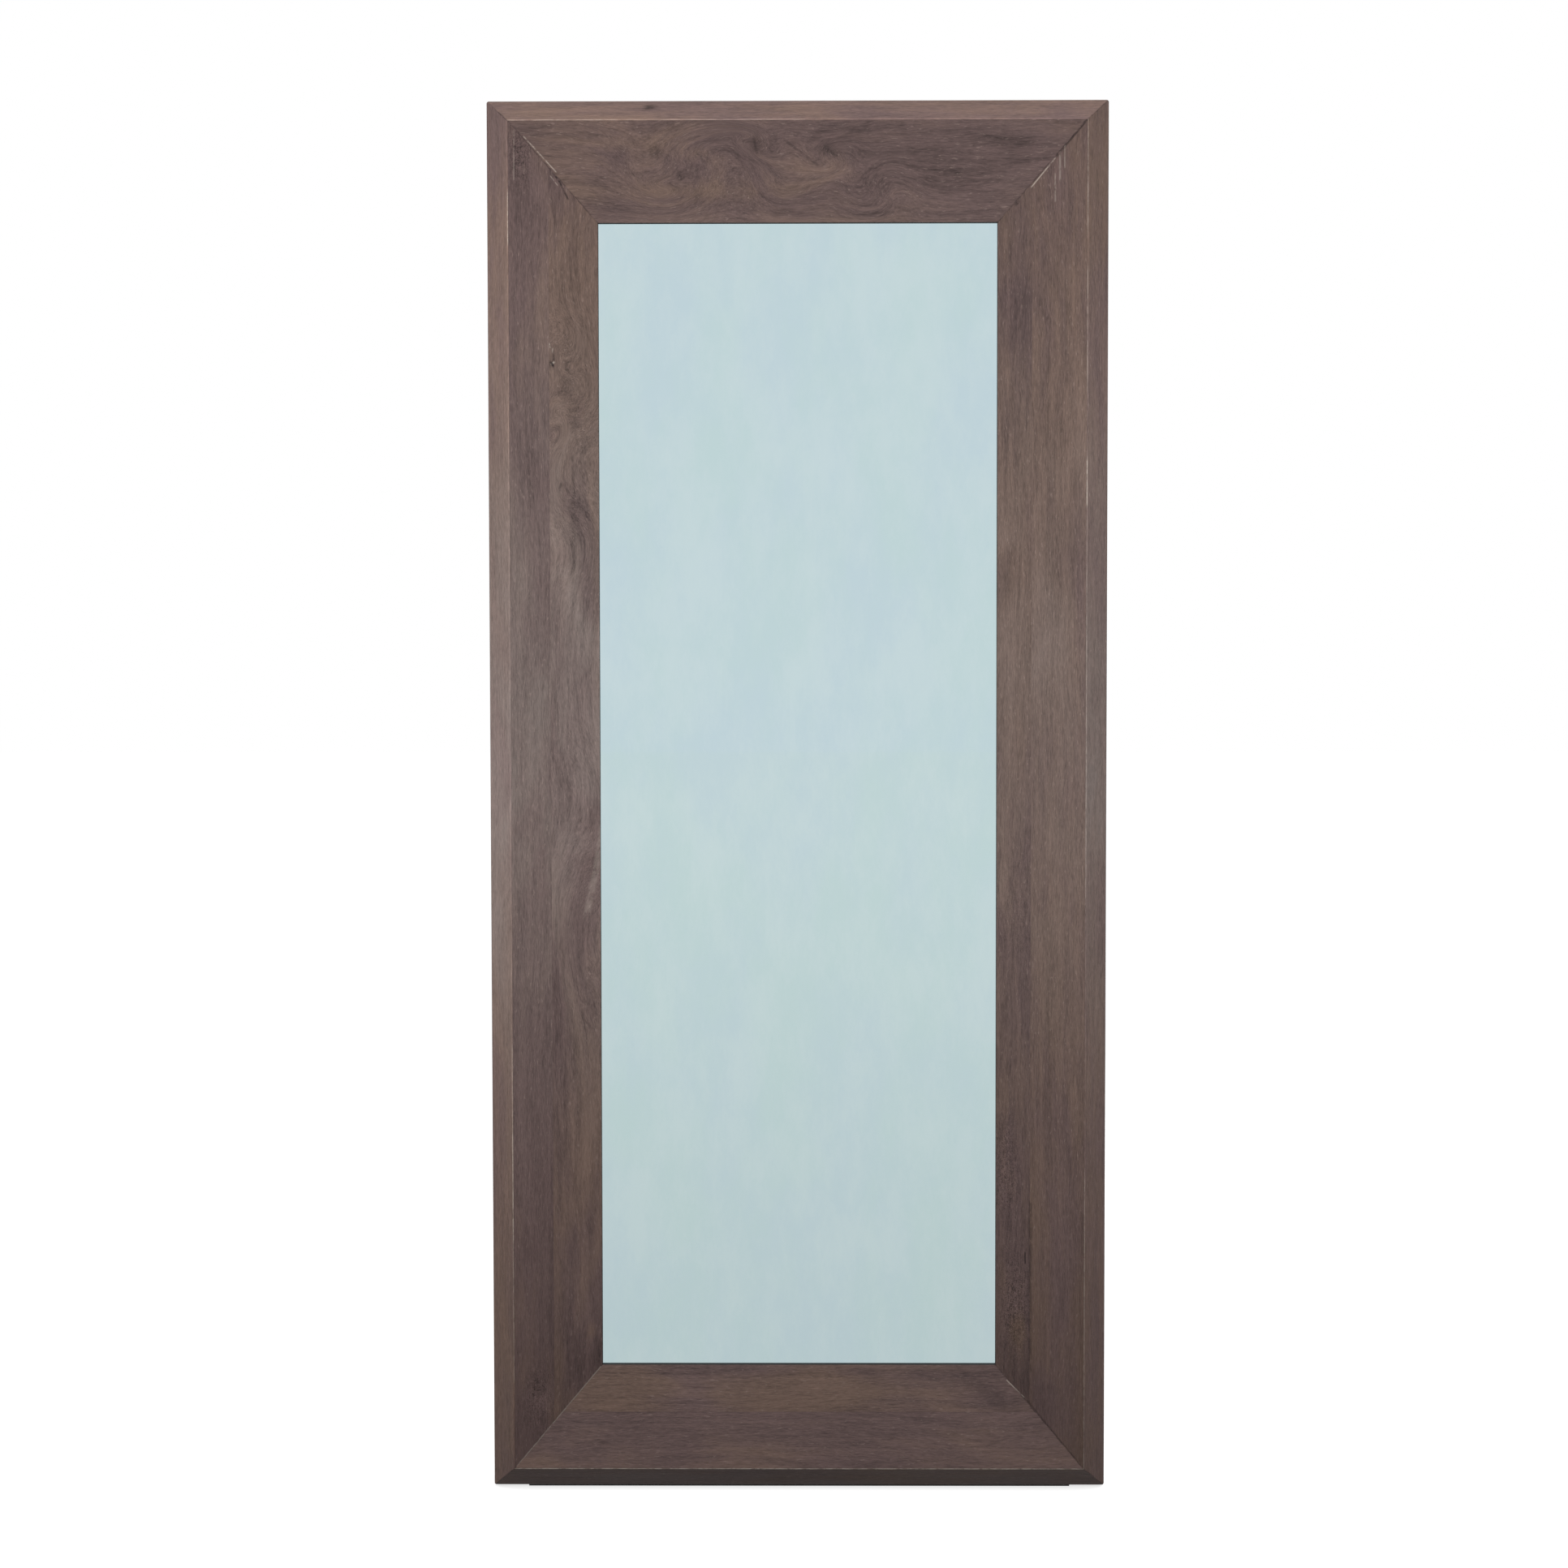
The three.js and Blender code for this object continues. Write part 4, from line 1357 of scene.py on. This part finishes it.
# %% Bend the rings
RING_HALF_WIDTH = 11.5  # to the middle of the wire
RING_CORNER = 3.5
RING_LEG = 2
BUTT_GAP = 0.3  # between the wire's two ends


def d_ring(name, axis):
    """A ring that hangs down from its bar, whose middle is at axis."""

    def push(x, z):
        bpy.ops.mesh.extrude_region_move(TRANSFORM_OT_translate={"value": (x * MM, 0, z * MM)})

    def bend(turn, x, z, steps):
        centre = axis + Vector((x, 0, z)) * MM
        bpy.ops.mesh.spin(steps=steps, angle=math.radians(turn), center=centre, axis=FRONT)

    bar = RING_HALF_WIDTH - RING_CORNER
    deselect_all()
    bpy.ops.mesh.primitive_circle_add(
        vertices=20,
        radius=WIRE * MM,
        fill_type="NGON",
        location=axis + Vector((BUTT_GAP / 2, 0, 0)) * MM,
        rotation=(0, math.radians(90), 0),
    )
    piece = bpy.context.object
    piece.name = name
    bpy.ops.object.transform_apply(location=True, rotation=True, scale=True)
    bpy.ops.object.mode_set(mode="EDIT")
    bpy.ops.mesh.select_all(action="SELECT")
    push(bar - BUTT_GAP / 2, 0)
    bend(90, bar, -RING_CORNER, steps=8)
    push(0, -RING_LEG)
    bend(180, 0, -RING_CORNER - RING_LEG, steps=32)
    push(0, RING_LEG)
    bend(90, -bar, -RING_CORNER, steps=8)
    push(bar - BUTT_GAP / 2, 0)
    bpy.ops.mesh.select_all(action="SELECT")
    bpy.ops.mesh.remove_doubles(threshold=CLOSE)
    bpy.ops.mesh.normals_make_consistent(inside=False)
    bpy.ops.object.mode_set(mode="OBJECT")
    polish(piece, 50)
    return piece


for side_name in ("left", "right"):
    node = f"hanger_ring_{side_name}"
    piece = d_ring(f"bent_{node}", ring_axis(node))
    settle(piece, f"{side_name}_ring", zinc, "zinc_steel", node)
    compare_boxes(piece)

# %% [markdown]
# ## Rubber
# Four bumpers keep the frame off the wall, and a strip under the bottom board keeps it from sliding
# on the floor. A bumper is turned like a screw, with a domed rim and a shallow dimple. The strip is
# a block with three grooves routed along its underside, which let it grip an uneven floor.

# %% Bumpers and grip strip
BUMPER_PROFILE = [(7, 0), (7, 1.7), (6.6, 2.5), (5.7, 2.95), (4.4, 3), (3, 2.6), (1, 2.4)]
for node in sorted(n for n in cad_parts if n.startswith("wall_bumper")):
    low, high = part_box(node)
    pattern = turned_from_disc("bumper", BUMPER_PROFILE)
    place = ((low.x + high.x) / 2, low.y, (low.z + high.z) / 2)
    piece = copy_of(pattern, f"domed_{node}", 0, place)
    bpy.data.objects.remove(pattern)
    polish(piece, 50)
    settle(piece, "frame", rubber, "rubber", node)

GROOVES = 3
GROOVE_WIDTH = 6 * MM
GROOVE_DEPTH = 1 * MM
STRIP_EDGE = 0.3 * MM
low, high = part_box("floor_grip_strip")
grip_strip = block("grooved_grip_strip", low, high)
pitch = (high.y - low.y) / (GROOVES + 1)
for number in range(1, GROOVES + 1):
    groove_y = low.y + number * pitch
    rout(
        grip_strip,
        block(
            "router",
            Vector((low.x - GROOVE_DEPTH, groove_y - GROOVE_WIDTH / 2, low.z - GROOVE_DEPTH)),
            Vector((high.x + GROOVE_DEPTH, groove_y + GROOVE_WIDTH / 2, low.z + GROOVE_DEPTH)),
        ),
    )
ease(grip_strip, is_sharp, STRIP_EDGE, 1)
polish(grip_strip)
settle(grip_strip, "frame", rubber, "rubber", "floor_grip_strip")
print("grip strip", len(grip_strip.data.polygons), "faces, open edges", open_edges(grip_strip))

# %% [markdown]
# ## The studio
# The object stands on a plain pale floor in a white room. Camera, mirror and metal see that room as
# plain white, while the light that falls on the wood has its own plain level, and Light Path tells
# those rays apart. The floor does the same: it throws little light back at the frame, so the lower
# chamfer stays nearly black, as in the photograph, but to the camera it is nearly white and keeps
# the object's soft shadow, and in the mirror it brightens with distance.

# %% Room and floor
ROOM_LIGHT = 0.45  # of the white that the camera sees
FLOOR_SIZE = 60
FLOOR_BOUNCE = 0.16  # share of the light that the floor throws back at the frame
FLOOR_PALE = 0.6  # to the camera: its colour, which takes the shadow, and a glow on top
FLOOR_GLOW = 0.75
FLOOR_FADE = 4  # in the mirror: metres over which it brightens, and by how much
FLOOR_DIMMING = 0.14
WHITE = (1, 1, 1, 1)
MIRRORED_FLOOR = (1, 1, 0.98, 1)


class Nodes(Finish):
    """The same helper for the nodes of a world, or of a material with a shader of its own."""

    def __init__(self, tree):
        self.tree = tree
        self.tree.nodes.clear()
        self.ray = self.node("LightPath")

    def end(self, kind, surface):
        output = self.tree.nodes.new("ShaderNodeOutput" + kind)
        self.tree.links.new(surface.socket, output.inputs["Surface"])


world = bpy.data.worlds.new("studio")
world.use_nodes = True
bpy.context.scene.world = world
room = Nodes(world.node_tree)
through_glass = room.ray.out("Is Transmission Ray")
seen = room.ray.out("Is Camera Ray").most(room.ray.out("Is Glossy Ray")).most(through_glass)
strength = seen * (1 - ROOM_LIGHT) + ROOM_LIGHT
room.end("World", room.node("Background", None, {"Color": WHITE, "Strength": strength}))

deselect_all()
bpy.ops.mesh.primitive_plane_add(size=FLOOR_SIZE)
floor = bpy.context.object
floor.name = "floor"
floor_material = bpy.data.materials.new("pale_floor")
floor_material.use_nodes = True
paint = Nodes(floor_material.node_tree)
distance = abs(paint.place()[1])
brightness = 1.0 - (distance / -FLOOR_FADE).exp() * FLOOR_DIMMING
thrown = paint.node("BsdfDiffuse", None, {"Color": (*[FLOOR_BOUNCE] * 3, 1)})
lit = paint.node("BsdfDiffuse", None, {"Color": (*[FLOOR_PALE] * 3, 1)})
glow = paint.node("Emission", None, {"Color": WHITE, "Strength": FLOOR_GLOW})
mirrored = paint.node("Emission", None, {"Color": MIRRORED_FLOOR, "Strength": brightness})
pale = paint.node("AddShader", None, {0: lit, 1: glow})
look = paint.node("MixShader", None, {0: paint.ray.out("Is Glossy Ray"), 1: thrown, 2: mirrored})
look = paint.node("MixShader", None, {0: paint.ray.out("Is Camera Ray"), 1: look, 2: pale})
paint.end("Material", look)
floor.data.materials.append(floor_material)
floor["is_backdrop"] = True
print("floor:", FLOOR_SIZE, "m square")

# %% [markdown]
# The lamps are two soft boxes. The key is wider than it is tall and stands close in front of the
# mirror, a little above its middle, so the frame darkens towards its foot, as in the photograph.
# The other stands behind, so that the back is lit too. An area lamp's power is spread over
# its face, so each box is given by how bright that face is, and its power is worked out.

# %% Lamps
KEY_PLACE = Vector((-0.18, -0.56, 1.24))
REAR_PLACE = Vector((1.4, 3.0, 2.0))
REAR_AIM = Vector((0, 0, 0.9))


def soft_box(name, place, aim, size, radiance):
    """A lamp that lights the object but isn't seen in it."""
    lamp = bpy.data.lights.new(name, "AREA")
    lamp.shape = "RECTANGLE"
    lamp.size, lamp.size_y = size
    lamp.energy = radiance * 4 * size[0] * size[1]
    holder = bpy.data.objects.new(name, lamp)
    bpy.context.scene.collection.objects.link(holder)
    holder.location = place
    holder.rotation_euler = (aim - place).to_track_quat("-Z", "Y").to_euler()
    holder.visible_camera = False
    holder.visible_glossy = False
    holder.visible_transmission = False
    print(name, "soft box:", round(lamp.energy, 1), "W")


soft_box("key", KEY_PLACE, KEY_PLACE + BACK, size=(3.0, 1.4), radiance=1.26)
soft_box("rear", REAR_PLACE, REAR_AIM, size=(1.6, 1.6), radiance=6)

# %% [markdown]
# Last, the size: the visual model has to stay inside the box that CAD gave, so the visual box is
# printed.

# %% Print the visual box
low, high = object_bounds()
print("visual box:", [round(v, 4) for v in low], [round(v, 4) for v in high])
